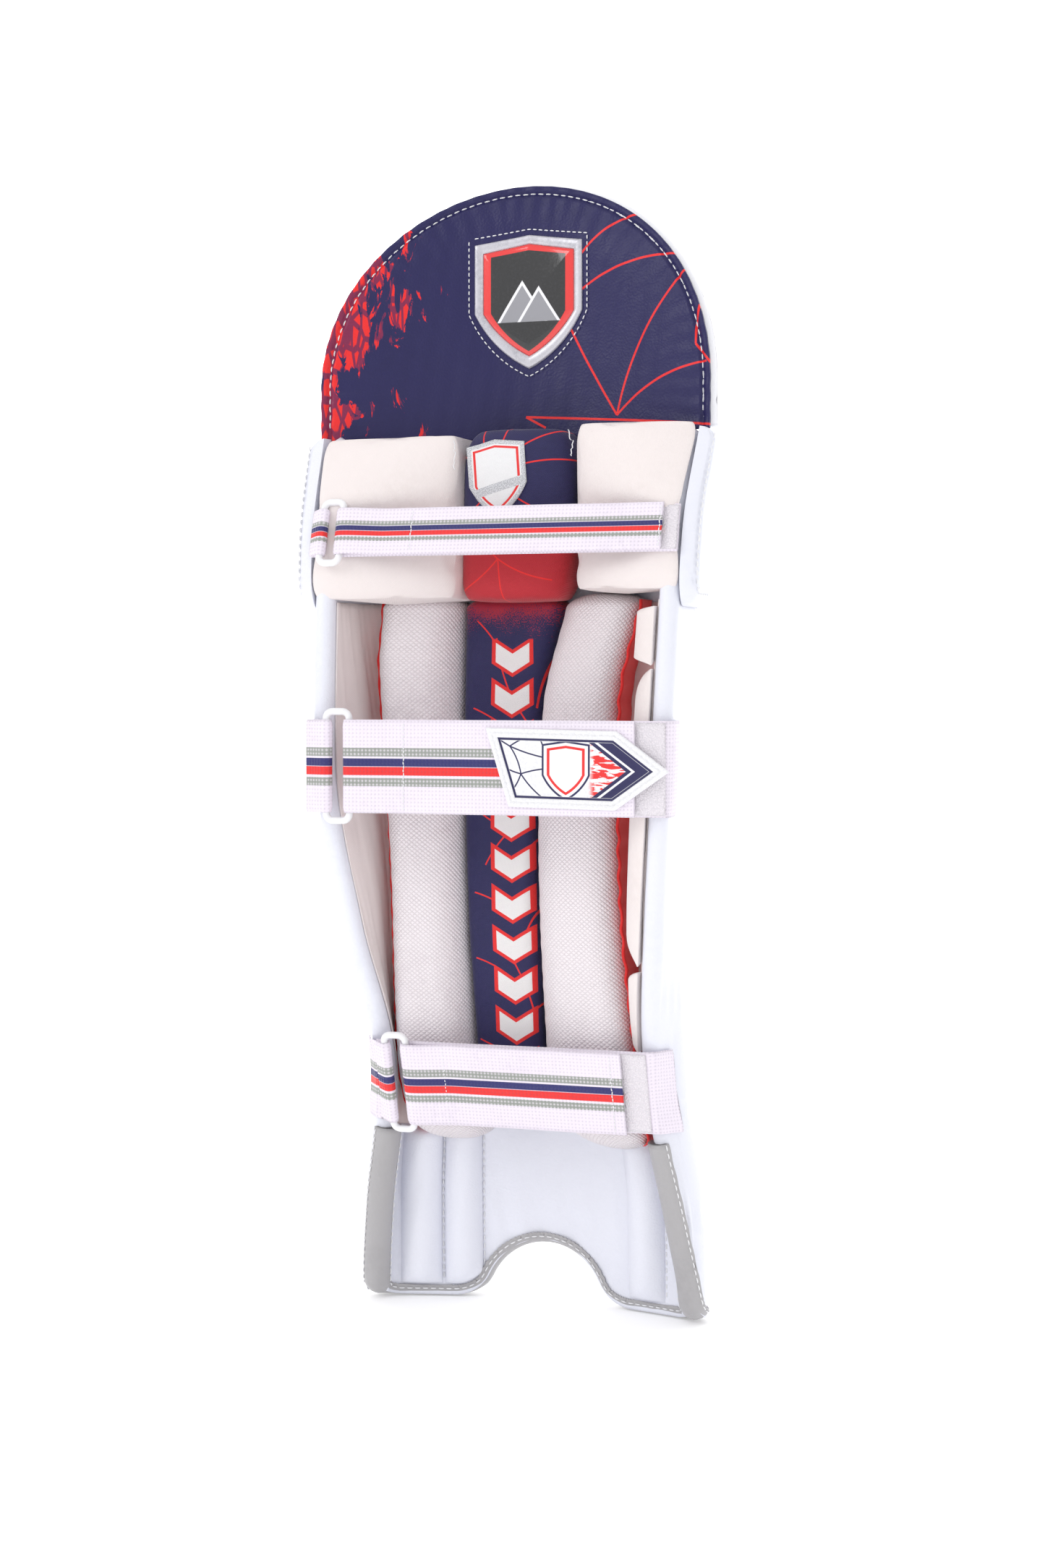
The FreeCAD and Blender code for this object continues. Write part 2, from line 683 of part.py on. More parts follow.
def make_flap():
    liner = "Dims.flap_curve"
    foam = liner + " + Dims.flap_liner_thick + Dims.layer_gap"
    cover = foam + " + Dims.flap_foam_thick + Dims.layer_gap"
    curved_layer("flap_liner", liner, liner + " + Dims.flap_liner_thick", flap_outline("Dims.flap_rim"))
    curved_layer("flap_foam", foam, foam + " + Dims.flap_foam_thick",
                 flap_outline("Dims.cover_thick"))
    curved_layer("flap_cover", cover, cover + " + Dims.cover_thick", flap_outline("0"))
    height = "(Dims.seam_height + Dims.flap_gap + Dims.badge_rise)"
    place = ("Dims.badge_wide", "Dims.badge_tall", "Dims.badge_x", height)
    rim = liner + " - Dims.layer_gap"
    curved_layer("badge_rim", rim + " - Dims.badge_thick", rim, shield_outline(*place, "0"))
    face = rim + " - Dims.badge_thick - Dims.layer_gap / 2"
    curved_layer("badge_face", face + " - Dims.badge_dome", face,
                 shield_outline(*place, "Dims.badge_border"))


def make_knee_patch():
    """The sewn shield on the knee centre pad."""
    body = new_body("knee_patch")
    section = Section(size("patch_height"))
    inner = layer_insets()[3] + size("cushion_gap")
    near = section.front_at(size("pillow_right") - size("cushion_gap"), inner)
    far = section.front_at(size("pillow_left") + size("cushion_gap"), inner)
    face = (near.y + far.y) / 2 - size("centre_deep") - size("layer_gap")
    above = Section(size("patch_height") + size("patch_tall") / 2)
    rise = above.front - section.front
    sketch = new_sketch(body, "knee_patch_outline", "XZ_Plane")
    draw(sketch, shield_outline("Dims.patch_wide", "Dims.patch_tall", "0", "0", "0"))
    pad(body, sketch, "knee_patch_pad", "Dims.patch_thick")
    body.Placement = FreeCAD.Placement(Vector(size("patch_x"), face - rise, size("patch_height")),
                                       FreeCAD.Rotation())


# ---------------------------------------------------------------- straps and rings
def place_strap_body(body, row):
    """Strap pieces are drawn at the rear edge of their section and lean with it."""
    body.setExpression("Placement.Base.y", "Dims.%s_edge_y - Dims.%s_strap_seat" % (row, row))
    body.setExpression("Placement.Base.z", "Dims.%s_height" % row)
    body.Placement.Rotation = FreeCAD.Rotation(Vector(1, 0, 0), 1)
    body.setExpression("Placement.Rotation.Angle", "Dims.%s_strap_lean" % row)


def band(row, name, steps, height):
    """A piece of webbing or tape: an outline seen from above, as tall as the webbing is wide."""
    label = "%s_%s" % (row, name)
    body = new_body(label)
    sketch = new_sketch(body, label + "_outline", "XY_Plane")
    sketch.setExpression("AttachmentOffset.Base.z", "-(%s) / 2" % height)
    draw(sketch, steps)
    pad(body, sketch, label + "_pad", height)
    place_strap_body(body, row)
    return body


def make_ring(row):
    """A rectangular ring: an upright bar at each end and a short bar above and below."""
    label = row + "_ring"
    body = new_body(label)
    bar = "Dims.ring_bar"
    left = "-Dims.%s_edge_x + Dims.%s_strap_bar" % (row, row)
    right = "%s + Dims.%s_strap_pitch" % (left, row)
    half = "Dims.%s_strap_width / 2 + Dims.ring_margin" % row
    sketch = new_sketch(body, label + "_outline", "XZ_Plane")
    depth = "Dims.web_thick + Dims.ring_clearance"
    sketch.setExpression("AttachmentOffset.Base.z", depth)
    for grow in ("+ %s" % bar, ""):
        out = "(%s)" % (half + grow)
        side = "%s / 2" % bar if grow else "-%s / 2" % bar
        low_x = "%s - %s" % (left, side)
        high_x = "%s + %s" % (right, side)
        draw(sketch, [(low_x, "-" + out), (high_x, "-" + out), (high_x, out), (low_x, out)])
    base = pad(body, sketch, label + "_pad", bar)
    doc.recompute()
    edges = ["Edge%d" % (number + 1) for number in range(len(base.Shape.Edges))]
    fillet(body, base, edges, "Dims.ring_fillet", label + "_rounds")
    place_strap_body(body, row)


def make_strap(row):
    web = "Dims.web_thick"
    bar = "Dims.ring_bar"
    near = "(%s / 2 + Dims.ring_clearance)" % bar
    far = "(%s + %s)" % (near, web)
    axis = "-(%s)" % far
    width = "Dims.%s_strap_width" % row
    edge = "Dims.%s_edge_x" % row
    left = "(-%s + Dims.%s_strap_bar)" % (edge, row)
    right = "(%s + Dims.%s_strap_pitch)" % (left, row)
    tip = "Dims.%s_strap_tip" % row

    # The tab is folded round the left bar, so it is drawn as a long U open to the left.
    band(row, "tab", [
        ("-" + edge, "0"), ("-" + edge, "-" + web), (left, axis + " + " + near),
        (left + " + " + near, axis, near, -1), (left, axis + " - " + near, near, -1),
        ("-" + edge, axis + " - " + near), ("-" + edge, axis + " - " + far),
        (left, axis + " - " + far), (left + " + " + far, axis, far, 1), (left, "0", far, 1)], width)
    make_ring(row)

    # The anchored run of webbing lies against the shell's edge from the right wall to the ring.
    start = "%s + %s + Dims.ring_clearance" % (right, far)
    band(row, "strap_anchor", [(start, "-" + web), (edge, "-" + web), (edge, "0"), (start, "0")], width)
    loop_low = "-(%s + Dims.loop_thick)" % web
    loop_end = edge + " - Dims.side_gap"
    band(row, "loop_tape", [("0", loop_low), (loop_end, loop_low), (loop_end, "-" + web),
                            ("0", "-" + web)], width)

    # The free run turns round the right bar and comes down onto the tape.
    hook_high = "-(%s + Dims.loop_thick + Dims.hook_gap)" % web
    hook_low = "-(%s + Dims.loop_thick + Dims.hook_gap + Dims.hook_thick)" % web
    free_high = hook_low
    free_low = "-(2 * %s + Dims.loop_thick + Dims.hook_gap + Dims.hook_thick)" % web
    landing = "%s + Dims.ramp" % right
    band(row, "strap_free", [
        (right, axis + " + " + far), (right + " - " + far, axis, far, 1),
        (right, axis + " - " + far, far, 1), (landing, free_low), (tip, free_low), (tip, free_high),
        (landing, free_high), (right, axis + " - " + near),
        (right + " - " + near, axis, near, -1), (right, axis + " + " + near, near, -1)], width)
    hook_start = "%s - Dims.%s_strap_hook" % (tip, row)
    band(row, "hook_patch", [(hook_start, hook_low), (tip, hook_low), (tip, hook_high),
                             (hook_start, hook_high)], width)


def make_tip_patch():
    """The moulded patch on the end of the calf strap: slanted at the left, pointed at the right."""
    body = new_body("calf_tip_patch")
    sketch = new_sketch(body, "calf_tip_patch_outline", "XZ_Plane")
    depth = "2 * Dims.web_thick + Dims.loop_thick + Dims.hook_gap + Dims.hook_thick + Dims.hook_gap"
    sketch.setExpression("AttachmentOffset.Base.z", depth)
    end = "Dims.tip_patch_end"
    half = "Dims.tip_patch_tall / 2"
    shoulder = "%s - Dims.tip_patch_nose" % end
    start = "%s - Dims.tip_patch_long" % shoulder
    draw(sketch, [(start + " + Dims.tip_patch_slant", "-" + half), (shoulder, "-" + half), (end, "0"),
                  (shoulder, half), (start, half)])
    pad(body, sketch, "calf_tip_patch_pad", "Dims.tip_patch_thick")
    place_strap_body(body, "calf")


# ---------------------------------------------------------------- build, check and export
fill_sheet()
make_shell()
make_lower_binding()
make_ribs()
make_knee_rolls()
make_wings()
make_bolsters()
make_knee_cushions()
make_side_pads()
make_instep_rolls()
make_flap()
make_knee_patch()
for strap_row in STRAPS:
    make_strap(strap_row)
make_tip_patch()
doc.recompute()

used = set()
for item in doc.Objects:
    if {"Invalid", "Error"} & set(item.State):
        raise RuntimeError("failed: " + item.Label)
    if item.TypeId in ("Part::Cut", "Part::Common"):
        used.update((item.Base.Name, item.Tool.Name))

KINDS = ("Part::Feature", "PartDesign::Body", "Part::Common", "Part::Cut")
nodes = [item for item in doc.Objects if item.TypeId in KINDS and item.Name not in used]
os.makedirs("parts", exist_ok=True)
total = FreeCAD.BoundBox()
for item in nodes:
    shape = item.Shape
    if shape.isNull() or not shape.isValid() or shape.Volume <= 0:
        raise RuntimeError("bad shape: " + item.Label)
    total.add(shape.BoundBox)
for item in nodes:
    item.Shape.exportStep("parts/%s.step" % item.Label)
print(len(nodes), "nodes, box", total)
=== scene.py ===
# %% [markdown]
# # A cricket leg pad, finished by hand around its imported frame
# The frame holds the hard facts: where each node is, what moves and how far. This lesson dresses it:
# padded leather cloth outside, stuffed cushions inside, a printed top flap and three webbing straps.
# Shapes are worked out in millimetres, and `add_mesh` turns them into metres at the very end.

# %% Load the frame
import math

import bmesh
import bpy
import numpy as np
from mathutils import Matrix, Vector


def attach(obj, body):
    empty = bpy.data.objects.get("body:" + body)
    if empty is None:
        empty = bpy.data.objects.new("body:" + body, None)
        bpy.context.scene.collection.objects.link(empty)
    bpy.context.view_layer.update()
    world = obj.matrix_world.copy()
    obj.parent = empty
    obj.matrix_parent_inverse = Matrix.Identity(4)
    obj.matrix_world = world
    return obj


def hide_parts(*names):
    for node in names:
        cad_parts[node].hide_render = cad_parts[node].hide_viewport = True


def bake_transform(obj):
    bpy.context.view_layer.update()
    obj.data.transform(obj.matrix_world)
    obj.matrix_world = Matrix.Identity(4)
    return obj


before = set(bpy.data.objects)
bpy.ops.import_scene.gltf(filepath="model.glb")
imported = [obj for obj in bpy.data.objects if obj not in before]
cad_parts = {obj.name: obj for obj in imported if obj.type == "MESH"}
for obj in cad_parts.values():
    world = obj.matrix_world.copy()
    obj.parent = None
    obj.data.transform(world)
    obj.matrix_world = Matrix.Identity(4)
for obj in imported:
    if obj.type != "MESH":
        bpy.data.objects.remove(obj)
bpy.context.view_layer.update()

MM = 0.001
PAD = "pad"

# %% [markdown]
# ## Camera, floor and light
# The pad stands on a pale floor and is seen from the leg side, a little from the right. A long lens
# from a metre and a half keeps its upright edges nearly parallel. Soft light comes from a pale sky,
# with one large lamp on the left, a weaker one on the right and a strip above.

# %% Camera
CAMERA_TURN = math.radians(19.3)
CAMERA_DISTANCE = 1.473
CAMERA_HEIGHT = 0.366
AIM = np.array([0.0, 0.003, 0.3085])


def add_camera():
    """A camera on a circle round the pad, turned so that it looks at the aim."""
    data = bpy.data.cameras.new("camera")
    data.lens = 59.0
    data.sensor_width = 36.0
    camera = bpy.data.objects.new("camera", data)
    bpy.context.scene.collection.objects.link(camera)
    place = np.array([CAMERA_DISTANCE * math.sin(CAMERA_TURN),
                      AIM[1] - CAMERA_DISTANCE * math.cos(CAMERA_TURN), CAMERA_HEIGHT])
    look_at(camera, place, AIM)
    bpy.context.scene.camera = camera


def look_at(thing, place, aim):
    """Stand a camera or lamp at a place with its own -Z towards the aim and +Y upwards."""
    thing.location = place
    thing.rotation_euler = (Vector(aim) - Vector(place)).to_track_quat("-Z", "Y").to_euler()


add_camera()
print("camera stands at", [round(value, 3) for value in bpy.context.scene.camera.location])


# %% Lamps and sky
LAMPS = {
    "left_lamp": ((-1.7, -1.9, 1.7), 1.3, 16.0),
    "right_lamp": ((2.1, -1.5, 1.1), 1.1, 3.0),
    "top_lamp": ((0.1, 0.3, 2.3), 1.4, 6.0),
}
SKY_STRENGTH = 0.88


def add_lights():
    for name, (place, size, power) in LAMPS.items():
        data = bpy.data.lights.new(name, "AREA")
        data.size = size
        data.energy = power
        lamp = bpy.data.objects.new(name, data)
        bpy.context.scene.collection.objects.link(lamp)
        look_at(lamp, place, AIM)
    world = bpy.data.worlds.new("pale_sky")
    world.use_nodes = True
    sky = world.node_tree.nodes["Background"]
    sky.inputs["Color"].default_value = (1.0, 1.0, 1.0, 1.0)
    sky.inputs["Strength"].default_value = SKY_STRENGTH
    bpy.context.scene.world = world
    bpy.context.scene.view_settings.view_transform = "Standard"


add_lights()
print("lamps:", ", ".join(LAMPS))

# %% [markdown]
# ## Node shorthand
# A material is a small graph. `put` adds a node and fills its inputs with numbers or with other
# nodes' outputs, so that a graph reads like the sum it works out.

# %% Node shorthand
def put(tree, kind, inputs=None, out=0, **settings):
    """Add a node, set its properties and inputs, and give back one of its outputs."""
    made = tree.nodes.new(kind)
    for key, value in settings.items():
        setattr(made, key, value)
    for key, value in (inputs or {}).items():
        if isinstance(value, bpy.types.NodeSocket):
            tree.links.new(value, made.inputs[key])
        else:
            made.inputs[key].default_value = value
    return made.outputs[out]


def sums(tree, operation, *values, clamp=False):
    """One Math node: an operation on one to three numbers or outputs."""
    return put(tree, "ShaderNodeMath", dict(enumerate(values)), operation=operation, use_clamp=clamp)


def blend_colours(tree, share, first, second):
    """One colour laid over another: share 0 shows the first, share 1 the second."""
    return put(tree, "ShaderNodeMix", {0: share, 6: first, 7: second}, out=2, data_type="RGBA")


def ramp(tree, value, low, high, to_low=0.0, to_high=1.0):
    """A number carried smoothly from one range to another."""
    return put(tree, "ShaderNodeMapRange", {0: value, 1: low, 2: high, 3: to_low, 4: to_high},
               interpolation_type="SMOOTHSTEP")


def new_group(name, inputs, outputs):
    """An empty shader node group with named sockets: its tree and its inputs by name."""
    tree = bpy.data.node_groups.new(name, "ShaderNodeTree")
    for label, (kind, value) in inputs.items():
        socket = tree.interface.new_socket(label, in_out="INPUT", socket_type=kind)
        if value is not None:
            socket.default_value = value
    for label in outputs:
        tree.interface.new_socket(label, in_out="OUTPUT", socket_type="NodeSocketFloat")
    return tree, tree.nodes.new("NodeGroupInput").outputs


def end_group(tree, results):
    """Join the worked-out values to the group's outputs."""
    output = tree.nodes.new("NodeGroupOutput")
    for label, value in results.items():
        tree.links.new(value, output.inputs[label])
    return tree


def use(tree, group, out=0, **inputs):
    """Place a node group in a material with its own values."""
    made = tree.nodes.new("ShaderNodeGroup")
    made.node_tree = group
    for key, value in inputs.items():
        if isinstance(value, bpy.types.NodeSocket):
            tree.links.new(value, made.inputs[key])
        else:
            made.inputs[key].default_value = value
    return made.outputs[out]


NUMBER = "NodeSocketFloat"
VECTOR = "NodeSocketVector"

# %% [markdown]
# ## Shared effects
# Every cloth on the pad is one of four textures: a crossed weave, a diamond spacer mesh, the pebbled
# grain of leather cloth, or a pile. Prints need two more tools: a bowed line and a shield outline.
# Each is a node group, so that twenty materials share them with their own pitch and size.

# %% Crossed weave
def make_weave():
    """Height = half + half sin(turns across) cos(turns along), plus a little uneven yarn."""
    tree, given = new_group("crossed_weave", {
        "Place": (VECTOR, None), "Across": (NUMBER, 0.002), "Along": (NUMBER, 0.0015)}, ["Height"])
    parts = put(tree, "ShaderNodeSeparateXYZ", {0: given["Place"]}).node.outputs
    across = sums(tree, "DIVIDE", parts[0], given["Across"])
    along = sums(tree, "DIVIDE", parts[1], given["Along"])
    first = sums(tree, "SINE", sums(tree, "MULTIPLY", across, 2 * math.pi))
    second = sums(tree, "COSINE", sums(tree, "MULTIPLY", along, 2 * math.pi))
    woven = sums(tree, "MULTIPLY_ADD", sums(tree, "MULTIPLY", first, second), 0.5, 0.5)
    yarn = put(tree, "ShaderNodeTexNoise", {"Vector": given["Place"], "Scale": 900.0, "Detail": 2.0})
    return end_group(tree, {"Height": sums(tree, "MULTIPLY_ADD", yarn, 0.35, woven)})


# %% Spacer mesh
def make_mesh_net():
    """Height = |sin (x + z)| |sin (x - z)|: high inside each diamond and zero along its threads."""
    tree, given = new_group("spacer_net", {
        "Place": (VECTOR, None), "Across": (NUMBER, 0.0031), "Along": (NUMBER, 0.0026)},
        ["Height", "Thread"])
    parts = put(tree, "ShaderNodeSeparateXYZ", {0: given["Place"]}).node.outputs
    across = sums(tree, "DIVIDE", parts[0], given["Across"])
    along = sums(tree, "DIVIDE", parts[1], given["Along"])
    rising = sums(tree, "SINE", sums(tree, "MULTIPLY", sums(tree, "ADD", across, along), math.pi))
    falling = sums(tree, "SINE",
                   sums(tree, "MULTIPLY", sums(tree, "SUBTRACT", across, along), math.pi))
    cell = sums(tree, "ABSOLUTE", sums(tree, "MULTIPLY", rising, falling))
    thread = ramp(tree, cell, 0.05, 0.35, 1.0, 0.0)
    return end_group(tree, {"Height": sums(tree, "POWER", cell, 0.6), "Thread": thread})


# %% Leather grain
def make_grain():
    """Height = pebbles of cellular noise with softer creases of larger noise between them."""
    tree, given = new_group("leather_grain", {
        "Place": (VECTOR, None), "Pebble": (NUMBER, 0.0011)}, ["Height", "Crease"])
    scale = sums(tree, "DIVIDE", 1.0, given["Pebble"])
    pebble = put(tree, "ShaderNodeTexVoronoi", {"Vector": given["Place"], "Scale": scale},
                 feature="SMOOTH_F1")
    crease = put(tree, "ShaderNodeTexNoise", {
        "Vector": given["Place"], "Scale": sums(tree, "MULTIPLY", scale, 0.08), "Detail": 5.0,
        "Distortion": 0.6})
    return end_group(tree, {"Height": sums(tree, "MULTIPLY_ADD", crease, 0.9, pebble),
                            "Crease": crease})


# %% Handling marks
def make_wear():
    """Mask = two sizes of noise multiplied: broad patches broken up by a finer speckle."""
    tree, given = new_group("handling_marks", {
        "Place": (VECTOR, None), "Size": (NUMBER, 0.05)}, ["Mask"])
    scale = sums(tree, "DIVIDE", 1.0, given["Size"])
    broad = put(tree, "ShaderNodeTexNoise", {"Vector": given["Place"], "Scale": scale, "Detail": 3.0})
    fine = put(tree, "ShaderNodeTexNoise", {
        "Vector": given["Place"], "Scale": sums(tree, "MULTIPLY", scale, 9.0), "Detail": 3.0})
    mask = sums(tree, "MULTIPLY", ramp(tree, broad, 0.42, 0.75), ramp(tree, fine, 0.3, 0.7))
    return end_group(tree, {"Mask": mask})


# %% Printed line
def make_bowed_line():
    """Mask of a line from start to end: across - bow 4 t (1 - t) is within half the width."""
    tree, given = new_group("bowed_line", {
        "Place": (VECTOR, None), "Start": (VECTOR, None), "End": (VECTOR, None),
        "Bow": (NUMBER, 0.0), "Width": (NUMBER, 0.001)}, ["Mask"])
    run = put(tree, "ShaderNodeVectorMath", {0: given["End"], 1: given["Start"]},
              operation="SUBTRACT")
    here = put(tree, "ShaderNodeVectorMath", {0: given["Place"], 1: given["Start"]},
               operation="SUBTRACT")
    square = put(tree, "ShaderNodeVectorMath", {0: run, 1: run}, out=1, operation="DOT_PRODUCT")
    dot = put(tree, "ShaderNodeVectorMath", {0: here, 1: run}, out=1, operation="DOT_PRODUCT")
    share = sums(tree, "DIVIDE", dot, square)
    turned = put(tree, "ShaderNodeVectorMath", {0: run, 1: here}, operation="CROSS_PRODUCT")
    across = sums(tree, "DIVIDE", put(tree, "ShaderNodeSeparateXYZ", {0: turned}, out=2),
                  sums(tree, "SQRT", square))
    lift = sums(tree, "MULTIPLY", sums(tree, "MULTIPLY", share, sums(tree, "SUBTRACT", 1.0, share)),
                sums(tree, "MULTIPLY", given["Bow"], 4.0))
    off = sums(tree, "ABSOLUTE", sums(tree, "SUBTRACT", across, lift))
    thin = ramp(tree, sums(tree, "DIVIDE", off, given["Width"]), 0.4, 0.6, 1.0, 0.0)
    inside = sums(tree, "COMPARE", share, 0.5, 0.5)
    return end_group(tree, {"Mask": sums(tree, "MULTIPLY", thin, inside)})


# %% Shield outline
SHIELD = {"shoulder": 0.44, "waist": 0.08, "swing": 0.9, "miter": 1.4}


def make_shield():
    """Distance inside a shield's outline: the least of its side, its arched top and its long curve.

    The curve is a circle of radius swing x tall through the waist corner and the point below.
    """
    tree, given = new_group("shield_outline", {
        "Place": (VECTOR, None), "Wide": (NUMBER, 0.065), "Tall": (NUMBER, 0.076),
        "Circle x": (NUMBER, 0.0), "Circle y": (NUMBER, 0.0)}, ["Inside"])
    parts = put(tree, "ShaderNodeSeparateXYZ", {0: given["Place"]}).node.outputs
    aside = sums(tree, "ABSOLUTE", parts[0])
    half = sums(tree, "MULTIPLY", given["Wide"], 0.5)
    tall = given["Tall"]
    side = sums(tree, "SUBTRACT", half, aside)
    slope = sums(tree, "DIVIDE", sums(tree, "MULTIPLY", tall, 0.5 - SHIELD["shoulder"]), half)
    top = sums(tree, "SUBTRACT", sums(tree, "SUBTRACT", sums(tree, "MULTIPLY", tall, 0.5), parts[1]),
               sums(tree, "MULTIPLY", aside, slope))
    east = sums(tree, "SUBTRACT", aside, given["Circle x"])
    north = sums(tree, "SUBTRACT", sums(tree, "MINIMUM", parts[1],
                                        sums(tree, "MULTIPLY", tall, -SHIELD["waist"])),
                 given["Circle y"])
    reach = sums(tree, "SQRT", sums(tree, "ADD", sums(tree, "MULTIPLY", east, east),
                                    sums(tree, "MULTIPLY", north, north)))
    curve = sums(tree, "SUBTRACT", sums(tree, "MULTIPLY", tall, SHIELD["swing"]), reach)
    least = sums(tree, "MINIMUM", sums(tree, "MINIMUM", side, top), curve)
    return end_group(tree, {"Inside": least})


def shield_circle(wide, tall):
    """Centre of the long curve's circle, worked out from the waist corner and the point."""
    corner = np.array([wide / 2, -SHIELD["waist"] * tall])
    point = np.array([0.0, -tall / 2])
    radius = SHIELD["swing"] * tall
    chord = corner - point
    length = np.linalg.norm(chord)
    side = np.array([-chord[1], chord[0]]) / length
    return (corner + point) / 2 + side * math.sqrt(radius ** 2 - length ** 2 / 4)


WEAVE, NET, GRAIN, WEAR = make_weave(), make_mesh_net(), make_grain(), make_wear()
BOWED_LINE, SHIELD_GROUP = make_bowed_line(), make_shield()
print("node groups:", ", ".join(sorted(group.name for group in bpy.data.node_groups)))

# %% [markdown]
# ## Finishes
# A finish starts from the same shader. Colour, roughness and bump vary over the surface through
# nodes; sheen and coat are the same all over, so they are set on the shader itself.

# %% A finish to start from
def start_finish(name, roughness=0.6, **plain):
    """A material with only its shader: the material, its tree and its shader."""
    made = bpy.data.materials.new(name)
    made.use_nodes = True
    tree = made.node_tree
    shader = tree.nodes["Principled BSDF"]
    shader.inputs["Roughness"].default_value = roughness
    for key, value in plain.items():
        shader.inputs[key.replace("_", " ")].default_value = value
    return made, tree, shader


def object_place(tree):
    return put(tree, "ShaderNodeTexCoord", out=3)


def surface_place(tree):
    """The piece's own UV map, which holds metres along and across the cloth."""
    return put(tree, "ShaderNodeUVMap", uv_map="UVMap")


def set_bump(tree, shader, height, depth, strength=1.0):
    tree.links.new(put(tree, "ShaderNodeBump", {"Height": height, "Distance": depth,
                                                "Strength": strength}), shader.inputs["Normal"])


def set_colour(tree, shader, colour):
    tree.links.new(colour, shader.inputs["Base Color"])


def set_roughness(tree, shader, value, low, high):
    tree.links.new(ramp(tree, value, 0.25, 0.75, low, high), shader.inputs["Roughness"])


def tinted(tree, place, base, dark, size=0.05):
    """A colour that drifts towards a darker one in worn patches."""
    worn = sums(tree, "MULTIPLY", use(tree, WEAR, Place=place, Size=size), 0.35)
    return blend_colours(tree, worn, base, dark)


WHITE = (0.80, 0.80, 0.84, 1)
PALE_BLUE = (0.78, 0.79, 0.87, 1)
CREAM = (0.86, 0.79, 0.78, 1)
CREAM_SHADE = (0.74, 0.66, 0.64, 1)
NAVY = (0.016, 0.014, 0.082, 1)
NAVY_DEEP = (0.009, 0.009, 0.052, 1)
RED = (0.78, 0.022, 0.022, 1)
RED_DEEP = (0.48, 0.012, 0.016, 1)
SILVER = (0.40, 0.39, 0.40, 1)


# %% Leather cloth
def leather(name, base, dark, roughness=(0.42, 0.55), pebble=0.0011, depth=0.00016, uv=False):
    """Coated cloth: fine pebbles, broad creases and a slightly uneven shine."""
    made, tree, shader = start_finish(name, Coat_Weight=0.08, Coat_Roughness=0.4)
    place = surface_place(tree) if uv else object_place(tree)
    grain = use(tree, GRAIN, Place=place, Pebble=pebble).node
    set_colour(tree, shader, tinted(tree, place, base, dark))
    set_roughness(tree, shader, grain.outputs["Crease"], *roughness)
    set_bump(tree, shader, grain.outputs["Height"], depth)
    return made


# %% Plain cloth
def cloth(name, base, dark, across=0.0009, along=0.0007, depth=0.00012, sheen=0.25, uv=False):
    """Plain or twill cloth: crossed yarns, with painted shade that darkens the hollows between them."""
    made, tree, shader = start_finish(name, 0.85, Sheen_Weight=sheen, Sheen_Roughness=0.4)
    place = surface_place(tree) if uv else front_place(tree)
    height = use(tree, WEAVE, Place=place, Across=across, Along=along)
    worn = tinted(tree, object_place(tree), base, dark, 0.04)
    # Painted shade: the hollows of the weave are darkened towards the dark colour, which also tints the worn
    # patches.
    painted_hollow_shade = ramp(tree, height, 0.1, 0.9, 0.22, 0.0)
    set_colour(tree, shader, blend_colours(tree, painted_hollow_shade, worn, dark))
    set_roughness(tree, shader, height, 0.92, 0.78)
    set_bump(tree, shader, height, depth)
    return made


def front_place(tree):
    """x and z of the place as the first two numbers: the place turned a quarter turn about x."""
    turned = put(tree, "ShaderNodeMapping", {"Vector": object_place(tree),
                                             "Rotation": (math.pi / 2, 0.0, 0.0)})
    return turned


# %% Spacer mesh cloth
def mesh_cloth(name, base, dark):
    """White mesh: pale raised diamonds between sunk threads that are darkened with painted shade."""
    made, tree, shader = start_finish(name, 0.8, Sheen_Weight=0.3, Sheen_Roughness=0.4)
    place = surface_place(tree)
    net = use(tree, NET, Place=place, Across=0.0031, Along=0.0026).node
    worn = tinted(tree, object_place(tree), base, dark, 0.06)
    # Painted shade: the sunk threads are darkened towards the dark colour, which also tints the worn
    # patches.
    shade = sums(tree, "MULTIPLY", net.outputs["Thread"], 0.42)
    set_colour(tree, shader, blend_colours(tree, shade, worn, dark))
    set_roughness(tree, shader, net.outputs["Height"], 0.9, 0.7)
    set_bump(tree, shader, net.outputs["Height"], 0.0005)
    return made


PU_WHITE = leather("pale_leather_cloth", PALE_BLUE, (0.66, 0.68, 0.76, 1))
PU_FRONT = leather("white_leather_cloth", WHITE, (0.66, 0.68, 0.71, 1))
SILVER_EDGE = leather("silver_binding_cloth", SILVER, (0.30, 0.29, 0.30, 1), (0.3, 0.45), 0.0016)
CREAM_TWILL = cloth("cream_twill", CREAM, CREAM_SHADE)
LINING_TWILL = cloth("lining_twill", (0.84, 0.76, 0.75, 1), CREAM_SHADE, uv=True)
WHITE_MESH = mesh_cloth("white_spacer_mesh", (0.90, 0.84, 0.87, 1), (0.70, 0.63, 0.67, 1))
RED_CLOTH = cloth("red_gusset_cloth", RED, RED_DEEP, uv=True)
THREAD = cloth("white_thread", (0.85, 0.85, 0.87, 1), (0.7, 0.7, 0.72, 1), 0.0006, 0.0009, 0.0001)
CANE = cloth("cane", (0.62, 0.46, 0.27, 1), (0.42, 0.28, 0.14, 1), 0.004, 0.02, 0.0002)
print("plain finishes:", len(bpy.data.materials))

# %% [markdown]
# ## From numbers to a mesh
# Every new piece is a grid of points worked out at once. `add_mesh` takes the points, the quads and a
# UV in metres; `add_tube` closes rings along a path, and `add_pad` joins a face and a back round the
# rim, which is how two panels of cloth are sewn into one stuffed piece.

